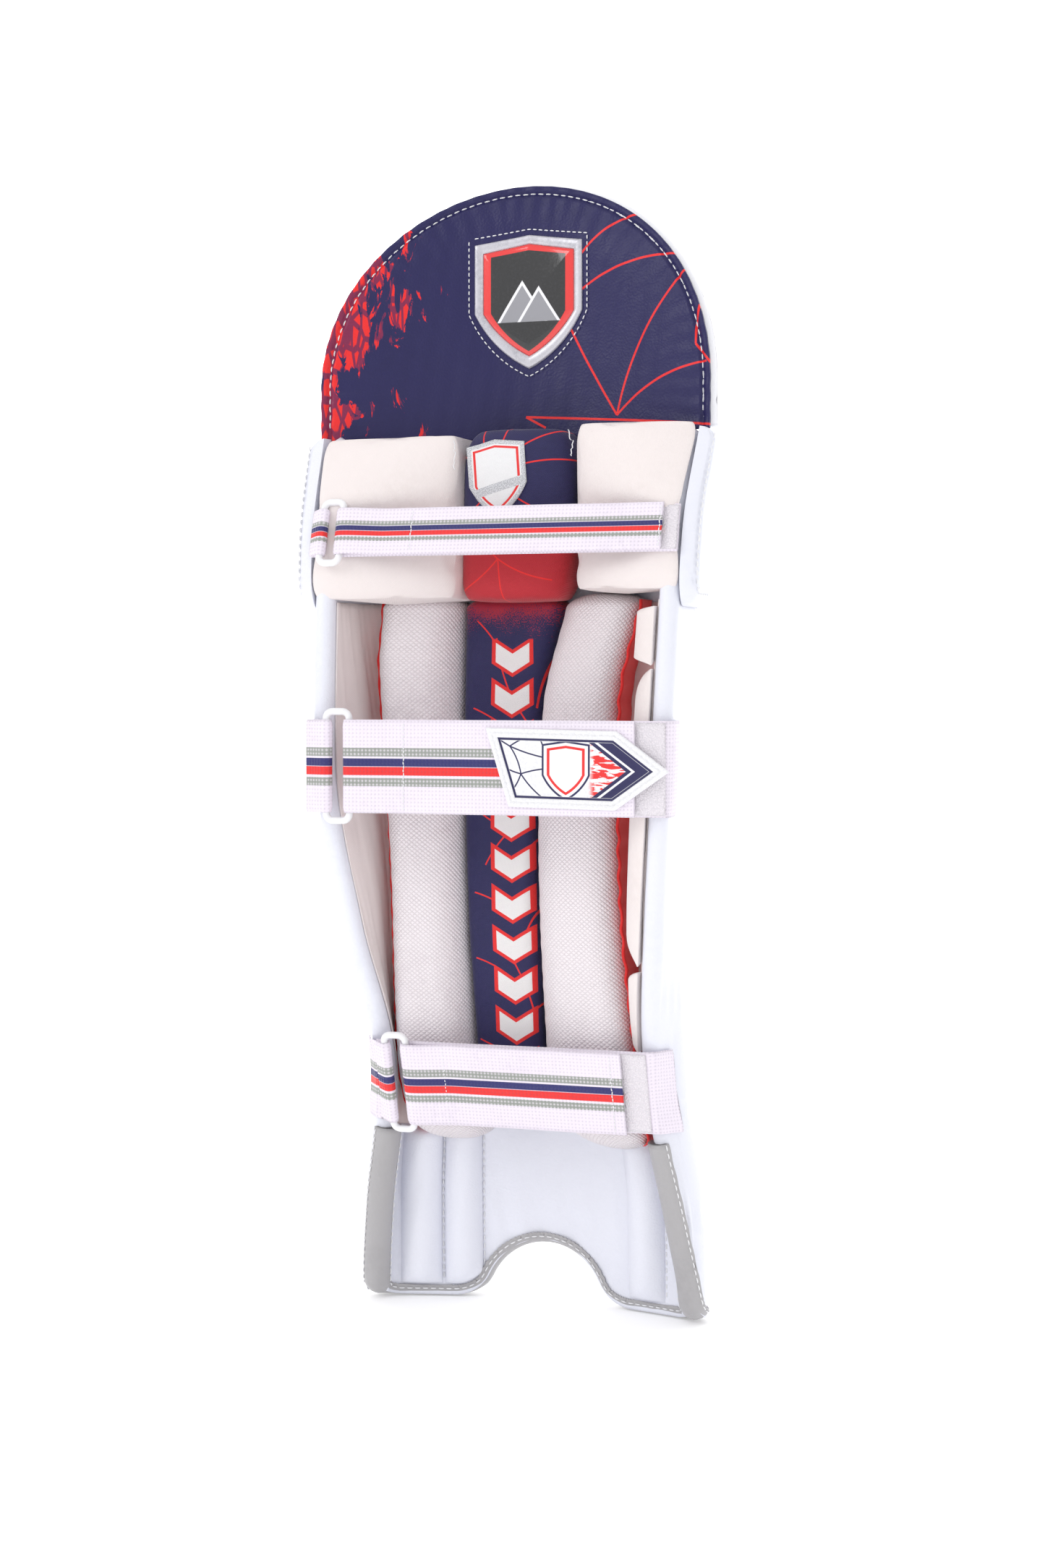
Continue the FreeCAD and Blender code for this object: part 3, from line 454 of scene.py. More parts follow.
# %% Points and quads to a piece
def add_mesh(name, points, quads, uv, material, body=PAD, smooth=True):
    """Make a piece: points in millimetres, quads of point numbers, one UV in metres per corner."""
    mesh = bpy.data.meshes.new(name)
    mesh.from_pydata((np.asarray(points) * MM).tolist(), [], np.asarray(quads).tolist())
    layer = mesh.uv_layers.new(name="UVMap")
    layer.data.foreach_set("uv", np.asarray(uv, dtype=np.float32).reshape(-1))
    work = bmesh.new()
    work.from_mesh(mesh)
    bmesh.ops.remove_doubles(work, verts=work.verts, dist=0.02 * MM)
    bmesh.ops.dissolve_degenerate(work, edges=work.edges, dist=0.001 * MM)
    bmesh.ops.recalc_face_normals(work, faces=work.faces)
    work.to_mesh(mesh)
    work.free()
    mesh.polygons.foreach_set("use_smooth", np.full(len(mesh.polygons), smooth))
    mesh.materials.append(material)
    piece = bpy.data.objects.new(name, mesh)
    bpy.context.scene.collection.objects.link(piece)
    if body:
        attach(piece, body)
    return piece


def grid_quads(rows, columns, wrap=False, first=0):
    """Quads of a grid numbered row by row; with wrap the last column joins the first."""
    row, column = np.meshgrid(np.arange(rows - 1), np.arange(columns if wrap else columns - 1),
                              indexing="ij")
    after = (column + 1) % columns
    quads = np.stack([row * columns + column, row * columns + after,
                      (row + 1) * columns + after, (row + 1) * columns + column], axis=-1)
    return first + quads.reshape(-1, 4)


def lengths_along(points, axis):
    """Distance travelled along one axis of a grid of points, averaged over the other."""
    steps = np.linalg.norm(np.diff(points, axis=axis), axis=-1)
    mean = steps.mean(axis=1 - axis)
    return np.concatenate([[0.0], np.cumsum(mean)])


def add_tube(name, rings, material, body=PAD, ends=True, around=None):
    """Closed rings along a path: rings[i, j] is point j of ring i. Ends close on their centres.

    The UV runs round the ring and along the path, unless around gives its own places, one a point.
    """
    rings = np.asarray(rings, dtype=float)
    if ends:
        first = np.repeat(rings[:1].mean(axis=1, keepdims=True), rings.shape[1], axis=1)
        last = np.repeat(rings[-1:].mean(axis=1, keepdims=True), rings.shape[1], axis=1)
        rings = np.concatenate([first, rings, last])
    rows, columns = rings.shape[:2]
    along = lengths_along(rings, 0) * MM
    closed = np.concatenate([rings, rings[:, :1]], axis=1)
    around = lengths_along(closed, 1) * MM if around is None else np.append(around, around[0]) * MM
    quads = grid_quads(rows, columns, wrap=True)
    row = np.repeat(np.arange(rows - 1), columns)
    column = np.tile(np.arange(columns), rows - 1)
    uv = np.stack([np.stack([around[column + i], along[row + j]], axis=-1)
                   for i, j in ((0, 0), (1, 0), (1, 1), (0, 1))], axis=1)
    return add_mesh(name, rings.reshape(-1, 3), quads, uv, material, body)


def add_pad(name, face, back, material, body=PAD):
    """Two grids of the same shape, face and back, joined round the rim with a strip of quads."""
    face, back = np.asarray(face, dtype=float), np.asarray(back, dtype=float)
    rows, columns = face.shape[:2]
    count = rows * columns
    along = lengths_along(face, 0) * MM
    across = lengths_along(face, 1) * MM
    place = np.stack(np.meshgrid(along, across, indexing="ij"), axis=-1)[..., ::-1].reshape(-1, 2)
    number = np.arange(count).reshape(rows, columns)
    rim = np.concatenate([number[0, :-1], number[:-1, -1], number[-1, :0:-1], number[:0:-1, 0]])
    after = np.roll(rim, -1)
    front = grid_quads(rows, columns)
    quads = np.concatenate([front, front[:, ::-1] + count,
                            np.stack([after, rim, rim + count, after + count], axis=-1)])
    uv = np.concatenate([place, place])[quads]
    return add_mesh(name, np.concatenate([face.reshape(-1, 3), back.reshape(-1, 3)]), quads, uv,
                    material, body)


def crowded(count):
    """Shares from 0 to 1 that crowd towards both ends, where an edge turns."""
    return 0.5 - 0.5 * np.cos(np.linspace(0, math.pi, count))


def edge_rise(share, width):
    """0 at either end of a span and 1 inside it, rounded like a quarter circle of that width."""
    near = np.clip(np.minimum(share, 1 - share) / width, 0, 1)
    return np.sqrt(np.clip(1 - (1 - near) ** 2, 0, 1))


def soft_noise(seed, *places):
    """Smooth unevenness from -1 to 1: a few sines of different pitch and slant, seeded."""
    random = np.random.default_rng(seed)
    total = 0.0
    for octave in range(5):
        turn = random.uniform(0, 2 * math.pi)
        shift = random.uniform(0, 2 * math.pi)
        pitch = 1.7 ** octave
        slant = [math.cos(turn), math.sin(turn)]
        total = total + np.sin(pitch * sum(a * b for a, b in zip(slant, places)) + shift) / (1 + octave)
    return total / 2.3


# %% [markdown]
# ## The shell's section
# Seen from above the pad is one smooth U: a front arc, two corner arcs and two straight walls. The
# same table of sections that drives the frame drives every cloth that follows the shell. A place on
# it is `run`, from -3 to 3: the front arc is -1 to 1, the corners 1 to 2, the walls 2 to 3.

# %% Sections
SECTION_COLUMNS = ("height", "front", "radius", "half", "corner", "edge_x", "edge_y")
SECTIONS = np.array([
    (0, 57, 260, 104, 20, 104, 15),
    (60, 55, 260, 103, 19, 94, 1),
    (137, 43, 260, 95, 18, 82, -12),
    (230, 33, 220, 94, 22, 96, -43),
    (320, 30, 200, 98, 26, 105.5, -59),
    (405, 35, 190, 106, 28, 107, -53),
    (450, 35, 190, 108, 28, 108, -47),
    (508, 35, 190, 110, 26, 111, -23),
], dtype=float)


def track(rows, columns, name, height):
    """A table's column at any height: a cubic through its rows that never overshoots them."""
    heights, values = rows[:, 0], rows[:, columns.index(name)]
    steps, slopes = np.diff(heights), np.diff(values) / np.diff(heights)
    product = slopes[:-1] * slopes[1:]
    total = np.where(np.abs(slopes[:-1] + slopes[1:]) > 0, slopes[:-1] + slopes[1:], 1.0)
    inner = np.where(product > 0, 2 * product / total, 0.0)
    tangents = np.concatenate([slopes[:1], inner, slopes[-1:]])
    height = np.clip(np.asarray(height, dtype=float), heights[0], heights[-1])
    spot = np.clip(np.searchsorted(heights, height, side="right") - 1, 0, len(steps) - 1)
    share = (height - heights[spot]) / steps[spot]
    rest = 1 - share
    return ((1 + 2 * share) * rest ** 2 * values[spot]
            + share * rest ** 2 * steps[spot] * tangents[spot]
            + share ** 2 * (3 - 2 * share) * values[spot + 1]
            - share ** 2 * rest * steps[spot] * tangents[spot + 1])


def section_at(height):
    """The section's measures at a height, with the angles where its arcs meet, as a dict."""
    found = {name: track(SECTIONS, SECTION_COLUMNS, name, height) for name in SECTION_COLUMNS[1:]}
    found["axis_y"] = found["front"] - found["radius"]
    reach = found["radius"] - found["corner"]
    found["spread"] = np.arcsin((found["half"] - found["corner"]) / reach)
    found["centre_x"] = reach * np.sin(found["spread"])
    found["centre_y"] = found["axis_y"] + reach * np.cos(found["spread"])
    across = found["edge_x"] - found["centre_x"]
    along = found["edge_y"] - found["centre_y"]
    distance = np.hypot(across, along)
    found["wall_turn"] = np.arctan2(along, across) + np.arccos(found["corner"] / distance)
    found["wall_long"] = np.sqrt(distance ** 2 - found["corner"] ** 2)
    return found


def shell_point(run, height, inset):
    """The point of the shell at a run and a height, an inset inside its outer face, and the way out.

    The way out is the unit vector square to the shell, level, pointing away from the leg.
    """
    run, height, inset = np.broadcast_arrays(*(np.asarray(v, dtype=float) for v in (run, height, inset)))
    part, side, found = np.abs(run), np.where(run < 0, -1.0, 1.0), section_at(height)
    turn = np.where(part < 1, math.pi / 2 - np.minimum(part, 1) * found["spread"],
                    found["wall_turn"] + np.clip(2 - part, 0, 1)
                    * (math.pi / 2 - found["spread"] - found["wall_turn"]))
    out = np.stack([np.cos(turn), np.sin(turn)], axis=-1)
    on_front = np.stack([np.zeros_like(run), found["axis_y"]], axis=-1) + (
        found["radius"] - inset)[..., None] * out
    on_corner = np.stack([found["centre_x"], found["centre_y"]], axis=-1) + (
        found["corner"] - inset)[..., None] * out
    back = np.stack([np.sin(turn), -np.cos(turn)], axis=-1)
    on_wall = on_corner + (np.maximum(part - 2, 0) * found["wall_long"])[..., None] * back
    flat = np.where((part < 1)[..., None], on_front, np.where((part < 2)[..., None], on_corner, on_wall))
    point = np.stack([side * flat[..., 0], flat[..., 1], height], axis=-1)
    away = np.stack([side * out[..., 0], out[..., 1], np.zeros_like(run)], axis=-1)
    return point, away


def wall_run(distance, height):
    """The run of the place that far from the rear edge, in millimetres along the wall."""
    return 3 - distance / section_at(height)["wall_long"]


def run_of_front(across, height, inset=0.0):
    """The run of the front arc at a distance across from the centre line."""
    found = section_at(height)
    return np.arcsin(np.clip(across / (found["radius"] - inset), -1, 1)) / found["spread"]


ARCH_HALF, ARCH_RISE, ARCH_CROWN = 58.0, 36.0, 40.0
CORNER_ROUND = 16.0


def arch_height(across):
    """Height of the bottom edge: a crown arc over the foot and a flank arc down to each side."""
    flank = (ARCH_HALF ** 2 + ARCH_RISE ** 2) / (2 * ARCH_RISE) - ARCH_CROWN
    join = ARCH_CROWN * ARCH_HALF / (ARCH_CROWN + flank)
    aside = np.abs(across)
    crown = ARCH_RISE - ARCH_CROWN + np.sqrt(np.maximum(ARCH_CROWN ** 2 - aside ** 2, 0))
    side = flank - np.sqrt(np.maximum(flank ** 2 - np.clip(ARCH_HALF - aside, 0, flank) ** 2, 0))
    return np.where(aside < join, crown, np.where(aside < ARCH_HALF, side, 0.0))


def bottom_height(run):
    """Height of the shell's lowest point at a run: the arch in front, rounded up at the rear edge."""
    point, _ = shell_point(run, 0.0, 0.0)
    wall = section_at(0.0)["wall_long"]
    left = np.clip(CORNER_ROUND - (3 - np.abs(run)) * wall, 0, CORNER_ROUND)
    corner = CORNER_ROUND - np.sqrt(CORNER_ROUND ** 2 - left ** 2)
    return arch_height(point[..., 0]) + corner


def run_grid(front=73, corner=13, wall=27, limit=3.0):
    """Runs from the left rear edge to the right one, with more of them round the corners."""
    half = np.concatenate([np.linspace(0, 1, front // 2 + 1)[:-1], np.linspace(1, 2, corner)[:-1],
                           2 + (limit - 2) * np.sin(np.linspace(0, math.pi / 2, wall))])
    return np.concatenate([-half[:0:-1], half])


THICK = 12.7
SEAM = 508.0
print("shell section at the calf:", {k: round(float(v), 1) for k, v in section_at(320.0).items()})

# %% [markdown]
# ## The padded shell
# One skin of pale leather cloth is turned over thick foam, so its rear edges are round, not cut. The
# skin is a closed surface that goes along the outside, round the rear edge, back along the inside
# and round the other edge. Slight puckers run along the seams where the cloth is eased over foam.

# %% Outer cover
EDGE_GAP = 1.8


def shortened(runs, height, distance):
    """Runs whose wall part stops a distance short of the rear edge, whatever the wall's length."""
    limit = 3 - np.minimum(distance / section_at(height)["wall_long"], 0.95)
    return np.sign(runs) * np.where(np.abs(runs) > 2, 2 + (np.abs(runs) - 2) * (limit - 2), np.abs(runs))


def shell_rings(rows, bottom_lift, top, outer, inner, top_round=5.0):
    """Closed rings: outside face, rear-edge half circle, inside face and the other half circle.

    Every place keeps its own bottom height, so the rows slide up over the foot arch.
    """
    middle = (outer + inner) / 2
    radius = (inner - outer) / 2
    runs = run_grid()
    bend = np.linspace(0, math.pi, 11)[1:-1]
    share = np.linspace(0, 1, rows) ** 0.9
    spots = np.concatenate([runs, np.full(bend.size, runs[-1]), runs[::-1],
                            np.full(bend.size, runs[0])])
    insets = np.concatenate([np.full(runs.size, outer), middle - radius * np.cos(bend),
                             np.full(runs.size, inner), middle + radius * np.cos(bend)])
    beyond = np.concatenate([np.zeros(runs.size), radius * np.sin(bend),
                             np.zeros(runs.size), radius * np.sin(bend)])
    ground = shortened(spots, 0.0, radius) + np.sign(spots) * beyond / section_at(0.0)["wall_long"]
    low = bottom_height(ground) + bottom_lift
    height = low + (top - low) * share[:, None]
    spots = shortened(spots, height, radius + EDGE_GAP)
    squeeze = np.clip((top - height) / top_round, 0, 1)
    squeeze = np.sqrt(1 - (1 - squeeze) ** 2)
    depth = middle + (insets - middle) * squeeze
    return spots, height, depth, beyond * squeeze


def dress_shell(name, rows, bottom_lift, top, outer, inner, material, relief):
    """A closed shell piece whose faces are pushed out or in by a relief in millimetres."""
    spots, height, depth, beyond = shell_rings(rows, bottom_lift, top, outer, inner)
    point, away = shell_point(spots, height, depth)
    side = np.where(spots < 0, -1.0, 1.0)
    back = np.stack([side * away[..., 1], -np.abs(away[..., 0]), np.zeros_like(height)], axis=-1)
    outside = depth < (outer + inner) / 2
    push = relief(spots, height) * np.where(outside, 1.0, 0.0)
    point = point + back * beyond[..., None] + away * push[..., None]
    return add_tube(name, point, material, ends=False)


def cover_relief(run, height):
    """Soft waves down the cover, and puckers that gather at the seams every third of the height."""
    across = run * 90
    pull = np.exp(-((height % 127) - 63) ** 2 / 90)
    return 0.5 * soft_noise(3, across / 22, height / 40) + 0.5 * pull * np.sin(across / 5.0)


outer_cover = dress_shell("outer_cover", 110, 1.2, SEAM, 0.0, 11.3, PU_WHITE, cover_relief)
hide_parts("front_cover", "front_foam", "wall_foam_left", "wall_foam_right")
print("outer_cover:", len(outer_cover.data.polygons), "faces")

# %% [markdown]
# ## Stitches
# A stitch is a short thread that rises from one hole and sinks into the next. Thousands are needed,
# so one small capsule of 30 points is repeated along a path with array arithmetic.

# %% Stitches
STITCH_RINGS = ((-0.5, 0.2, -0.6), (-0.36, 0.85, 0.0), (0.0, 1.0, 0.35), (0.36, 0.85, 0.0),
                (0.5, 0.2, -0.6))
STITCH_SIDES = 6


def add_stitches(name, path, out, body=PAD, long=3.4, gap=1.3, thick=0.42, material=THREAD):
    """Capsules laid end to end on a path: path[i] in millimetres and out[i], the way off the cloth."""
    path = np.asarray(path, dtype=float)
    out = np.broadcast_to(np.asarray(out, dtype=float), path.shape)
    travelled = np.concatenate([[0], np.cumsum(np.linalg.norm(np.diff(path, axis=0), axis=1))])
    starts = np.arange(gap, travelled[-1] - long, long + gap)

    def at(distance, values):
        return np.stack([np.interp(distance, travelled, values[:, axis]) for axis in range(3)], axis=-1)

    ends = [at(starts, path), at(starts + long, path)]
    run = ends[1] - ends[0]
    run /= np.linalg.norm(run, axis=1, keepdims=True)
    up = at(starts + long / 2, out)
    side = np.cross(run, up)
    side /= np.linalg.norm(side, axis=1, keepdims=True)
    up = np.cross(side, run)
    turn = np.arange(STITCH_SIDES) * 2 * math.pi / STITCH_SIDES
    centre = (ends[0] + ends[1]) / 2
    rings = []
    for share, fat, lift in STITCH_RINGS:
        spot = centre + run * share * long + up * lift * thick
        ring = spot[:, None] + thick * fat * (side[:, None] * np.cos(turn)[:, None]
                                              + up[:, None] * np.sin(turn)[:, None])
        rings.append(ring)
    points = np.stack(rings, axis=1)
    count = len(STITCH_RINGS) * STITCH_SIDES
    one = grid_quads(len(STITCH_RINGS), STITCH_SIDES, wrap=True)
    lid = np.array([[0, 1, 2, 3], [3, 4, 5, 0]])
    one = np.concatenate([one, lid[:, ::-1], lid + count - STITCH_SIDES])
    quads = (one[None] + np.arange(len(starts))[:, None, None] * count).reshape(-1, 4)
    uv = np.zeros((len(quads), 4, 2))
    return add_mesh(name, points.reshape(-1, 3), quads, uv, material, body)


# %% [markdown]
# ## Lining, instep and lower binding
# Inside, the upper two thirds are lined with cream twill. Below the ankle strap the lining is the
# same pale leather cloth, quilted into stuffed channels, and the whole bottom edge and the rear
# edges are bound with silver cloth folded over the raw edge and stitched through.

# %% Twill lining
LINING_LOW, LINING_HIGH = 102.0, 412.0


def add_lining():
    """A thin closed sheet over the inner face, a lip short of the rear edges, waved like loose twill."""
    height = np.linspace(LINING_LOW, LINING_HIGH, 90)[:, None]
    lip = 3 - 9.0 / section_at(height)["wall_long"]
    runs = run_grid() / 3 * np.ones_like(height)
    runs = np.sign(runs) * np.where(np.abs(runs) > 2 / 3, 2 + (np.abs(runs) * 3 - 2) * (lip - 2),
                                    np.abs(runs) * 3)
    wave = 0.35 * soft_noise(11, runs * 30, height / 12)
    face, _ = shell_point(runs, height, 12.5 + wave)
    back, _ = shell_point(runs, height, 11.5)
    piece = add_pad("twill_lining", face, back, LINING_TWILL)
    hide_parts("wall_lining_left", "wall_lining_right")


add_lining()


# %% Instep lining
INSTEP_TOP = 105.0


def add_instep_lining():
    """The quilted leather lining below the ankle: small puckers pull towards the channel seams."""
    share = np.linspace(0, 1, 60)[:, None]
    runs = run_grid(front=121)[None, :] * np.ones_like(share)
    low = bottom_height(shortened(runs, 0.0, 5.0)) + 1.0
    height = low + (INSTEP_TOP - low) * share
    runs = shortened(runs, height, 5.0)
    across = runs * 95
    pucker = 0.55 * np.sin(across / 3.2 + 2 * soft_noise(5, across / 20, height / 25))
    pucker = pucker * np.exp(-((height - 60) / 34) ** 2) + 0.5 * soft_noise(7, across / 15, height / 18)
    face, _ = shell_point(runs, height, 13.0 + pucker)
    back, _ = shell_point(runs, height, 11.4)
    piece = add_pad("instep_lining_cloth", face, back, PU_WHITE)
    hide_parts("instep_lining")


add_instep_lining()


# %% Instep channels
INSTEP_ROLLS = {"left_outer": (-0.99, -0.71), "left_inner": (-0.69, -0.43), "right": (0.62, 0.90)}


def add_instep_roll(name, first, last):
    """A stuffed channel: its width swells as a half sine and its ends round off over 9 mm."""
    share = crowded(60)[:, None]
    width = crowded(25)[None, :]
    run = first + (last - first) * width + 0 * share
    low = bottom_height(run) + 8.0
    height = low + (INSTEP_TOP - 1 - low) * share
    end = edge_rise(share, 0.10)
    crown = np.sin(math.pi * width) ** 0.62 * end
    pucker = 1 + 0.05 * soft_noise(len(name), height / 6, width * 9)
    face, _ = shell_point(run, height, 13.2 + 9.0 * crown * pucker)
    back, _ = shell_point(run, height, 12.2)
    piece = add_pad("instep_channel_" + name, face, back, PU_WHITE)
    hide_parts("instep_roll_" + name)
    seam_run = np.full(60, last) + 0.01
    seam_low = bottom_height(seam_run) + 10
    seam, away = shell_point(seam_run, seam_low + (INSTEP_TOP - 3 - seam_low) * np.linspace(0, 1, 60), 13.4)
    add_stitches("instep_channel_stitches_" + name, seam, -away)


for roll_name, (roll_first, roll_last) in INSTEP_ROLLS.items():
    add_instep_roll(roll_name, roll_first, roll_last)
print("instep channels:", ", ".join(INSTEP_ROLLS))


# %% Silver binding
BINDING_TOP, BINDING_BAND, BINDING_THICK = 106.0, 7.0, 0.9
EDGE_OUTSET = 1.6


def edge_path(inset=6.35, inside=0.0):
    """The shell's free edge: down the left rear edge, along the arched bottom and up the right.

    Gives its points, the way out of the shell and the way up into the cloth, all square.
    """
    wall = float(section_at(0.0)["wall_long"])
    bend = np.linspace(0, math.pi / 2, 40)
    corner_run = 3 - CORNER_ROUND * (1 - np.cos(bend)) / wall
    corner_high = CORNER_ROUND * (1 - np.sin(bend))
    rear = np.linspace(BINDING_TOP, CORNER_ROUND, 30)[:-1]
    inner = np.linspace(corner_run[-1], 0, 130)[1:]
    half_run = np.concatenate([np.full(rear.size, 3.0), corner_run, inner])
    half_high = np.concatenate([rear, corner_high, arch_height(shell_point(inner, 0.0, 0.0)[0][:, 0])])
    run = np.concatenate([-half_run, half_run[-2::-1]])
    high = np.concatenate([half_high, half_high[-2::-1]])
    point, away = shell_point(run, high, inset)
    ahead = np.gradient(point, axis=0)
    ahead /= np.linalg.norm(ahead, axis=1, keepdims=True)
    up = np.cross(ahead, away)
    up /= np.linalg.norm(up, axis=1, keepdims=True)
    return point + up * inside, away, up


def add_binding():
    """A U of cloth carried along the free edge: two legs and a round fold, with a closed thickness."""
    point, away, up = edge_path(inset=THICK / 2)
    reach = THICK / 2 + 1.7
    fold = np.linspace(0, math.pi, 13)
    leg = np.linspace(BINDING_BAND, 0.8 * reach, 5)[:-1]

    def profile(shrink):
        out = np.concatenate([np.full(4, 1.0), np.cos(fold), np.full(4, -1.0)]) * (reach - shrink)
        lift = np.concatenate([leg, reach * 0.8 - (0.8 * reach - shrink) * np.sin(fold), leg[::-1]])
        return out, lift

    out, lift = (np.concatenate([a, b[::-1]]) for a, b in zip(profile(0.0), profile(BINDING_THICK)))
    outset = EDGE_OUTSET * np.clip(point[:, 2:] / 8.0, 0, 1)
    point = point - up * outset
    ripple = 0.25 * np.sin(np.arange(len(point)) * 1.3)[:, None] * (lift > BINDING_BAND - 0.5)
    rings = (point[:, None] + away[:, None] * out[None, :, None]
             + up[:, None] * (lift[None] + ripple)[..., None])
    piece = add_tube("silver_binding", rings, SILVER_EDGE)
    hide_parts("lower_binding")
    for name, way in (("inner", -1.0), ("outer", 1.0)):
        path = point + up * (BINDING_BAND - 2.2) + away * way * (reach + 0.05)
        add_stitches("binding_stitches_" + name, path, away * way)
    return piece


silver_binding = add_binding()
print("silver_binding:", len(silver_binding.data.polygons), "faces")

# %% [markdown]
# ## The ball side
# Seven upright ribs, each round a cane, three rolls across the knee and a wing over each side of it:
# all white leather cloth stuffed with fibre. Each is a face and a back sewn at the rim, full in the
# middle and drawn in at its seams.

# %% Front ribs
RIB_COUNT, RIB_SPREAD, RIB_FILL, RIB_DEEP = 7, 0.29, 0.46, 13.0
RIB_LOW, RIB_HIGH = 8.4, 403.0


def add_rib(number):
    """Face = cover + deep x (1 - w^2)^0.6, w across the rib, with ends rounded and faint creases."""
    place = number - (RIB_COUNT - 1) / 2
    width = np.sin(np.linspace(-math.pi / 2, math.pi / 2, 21))[None, :]
    share = crowded(120)[:, None]
    run = (place + RIB_FILL * width) * RIB_SPREAD + 0 * share
    low = np.maximum(bottom_height(run) + BINDING_BAND + 0.6, RIB_LOW)
    height = low + (RIB_HIGH - low) * share
    full = np.clip(1 - width ** 2, 0, 1) ** 0.6 * edge_rise(share, 0.03)
    crease = 1 + 0.05 * soft_noise(20 + number, height / 9, width * 2)
    face, _ = shell_point(run, height, -1.0 - RIB_DEEP * full * crease)
    back, _ = shell_point(run, height, -0.6)
    piece = add_pad("rib_%d" % (number + 1), face, back, PU_FRONT)
    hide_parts("front_rib_%d" % (number + 1))


for rib_number in range(RIB_COUNT):
    add_rib(rib_number)
print("ribs:", RIB_COUNT)


# %% Knee rolls and wings
ROLL_LOW, ROLL_TALL, ROLL_SEAM, ROLL_DEEP, ROLL_ANGLE = 409.0, 31.5, 1.0, 17.0, math.radians(28)


def add_knee_roll(number, name):
    """A roll across the knee: full over its height, its ends rounded off, turned about the front."""
    turn = np.linspace(-1, 1, 90)[None, :] * ROLL_ANGLE
    share = crowded(25)[:, None]
    low = ROLL_LOW + number * (ROLL_TALL + ROLL_SEAM)
    radius, axis = 190.0, 35.0 - 190.0
    end = edge_rise((turn / ROLL_ANGLE + 1) / 2, 0.06)
    full = np.sin(math.pi * share) ** 0.6 * end
    crease = 1 + 0.05 * soft_noise(40 + number, turn * 40, share * 3)
    out = radius + 1.0 + ROLL_DEEP * full * crease
    height = low + ROLL_TALL * share + 0 * turn
    face = np.stack([out * np.sin(turn), axis + out * np.cos(turn), height], axis=-1)
    rim = radius + 0.8 + 0 * out
    back = np.stack([rim * np.sin(turn), axis + rim * np.cos(turn), height], axis=-1)
    piece = add_pad("knee_bar_" + name, face, back, PU_FRONT)
    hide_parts("knee_roll_" + name)


for roll_number, roll_name in enumerate(("lower", "middle", "upper")):
    add_knee_roll(roll_number, roll_name)

WING_LOW, WING_HIGH, WING_THICK, WING_ROUND = 408.0, 507.0, 9.5, 24.0


def add_wing(name, side):
    """A padded wing over the wall, its lower rear corner rounded off, with a double row of stitches."""
    share = crowded(60)[:, None]
    length = crowded(60)[None, :]
    run = 1.05 + (2.995 - 1.05) * length
    rear = (3 - run) * 85.0
    lift = WING_ROUND - np.sqrt(WING_ROUND ** 2 - np.clip(WING_ROUND - rear, 0, WING_ROUND) ** 2)
    low = WING_LOW + lift
    height = low + (WING_HIGH - low) * share
    full = edge_rise(share, 0.10) * edge_rise(length, 0.10)
    groove = np.exp(-((rear - 8) / 1.6) ** 2) + np.exp(-((height - low - 8) / 1.6) ** 2)
    thick = WING_THICK * full * (1 + 0.04 * soft_noise(50, run * 9, height / 9)) - 0.9 * groove * full
    face, _ = shell_point(side * run + 0 * height, height, -1.0 - thick)
    back, _ = shell_point(side * run + 0 * height, height, -0.8)
    piece = add_pad("side_wing_" + name, face, back, PU_WHITE)
    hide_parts("knee_wing_" + name)
    for row, inside in enumerate((6.5, 9.5)):
        up = np.linspace(WING_HIGH - 3, WING_LOW + WING_ROUND, 40)
        bend = np.linspace(0, math.pi / 2, 20)
        rear_path = np.concatenate([np.full(40, inside), WING_ROUND - (WING_ROUND - inside) * np.cos(bend),
                                    np.linspace(WING_ROUND, 70, 30)])
        high_path = np.concatenate([up, WING_LOW + WING_ROUND - (WING_ROUND - inside) * np.sin(bend),
                                    np.full(30, WING_LOW + inside)])
        path, away = shell_point(side * (3 - rear_path / 85.0), high_path, -1.0 - WING_THICK * 0.93)
        add_stitches("side_wing_stitches_%s_%d" % (name, row + 1), path, away)


for wing_name, wing_side in (("left", -1.0), ("right", 1.0)):
    add_wing(wing_name, wing_side)
print("knee rolls and wings made")

# %% [markdown]
# ## Prints
# The shin strip, the knee centre and the flap's liner are printed: navy cloth that fades to red, with
# thin red lines like a net of cracks. A line is a start, an end and a bow, all in metres on the
# cloth, so a whole net is a short list. Lettering on such pads is left out; plain chevrons stand in.

# %% Nets of printed lines
def line_mask(tree, place, lines, width):
    """The most of several bowed lines: each is start x, start z, end x, end z and bow, in millimetres."""
    total = None
    for start_x, start_z, end_x, end_z, bow in lines:
        mask = use(tree, BOWED_LINE, Place=place, Start=(start_x * MM, start_z * MM, 0.0),
                   End=(end_x * MM, end_z * MM, 0.0), Bow=bow * MM, Width=width * MM)
        total = mask if total is None else sums(tree, "MAXIMUM", total, mask)
    return total


def leg_place(tree):
    """x and z of the place as x and y, flat: the view from the leg side, for prints on rear faces."""
    parts = put(tree, "ShaderNodeSeparateXYZ", {0: object_place(tree)}).node.outputs
    return put(tree, "ShaderNodeCombineXYZ", {0: parts[0], 1: parts[2]}), parts[0], parts[2]


def heather(tree, place, height, low, high):
    """Share of red in the fade: more towards the low height, broken into yarn-sized specks."""
    specks = put(tree, "ShaderNodeTexNoise", {"Vector": place, "Scale": 1300.0, "Detail": 1.0})
    broad = put(tree, "ShaderNodeTexNoise", {"Vector": place, "Scale": 55.0, "Detail": 2.0})
    fade = ramp(tree, height, low, high, 1.0, 0.0)
    fade = sums(tree, "MULTIPLY_ADD", sums(tree, "SUBTRACT", broad, 0.5), 0.5, fade)
    return ramp(tree, sums(tree, "ADD", fade, sums(tree, "MULTIPLY", specks, 0.8)), 0.75, 1.05)


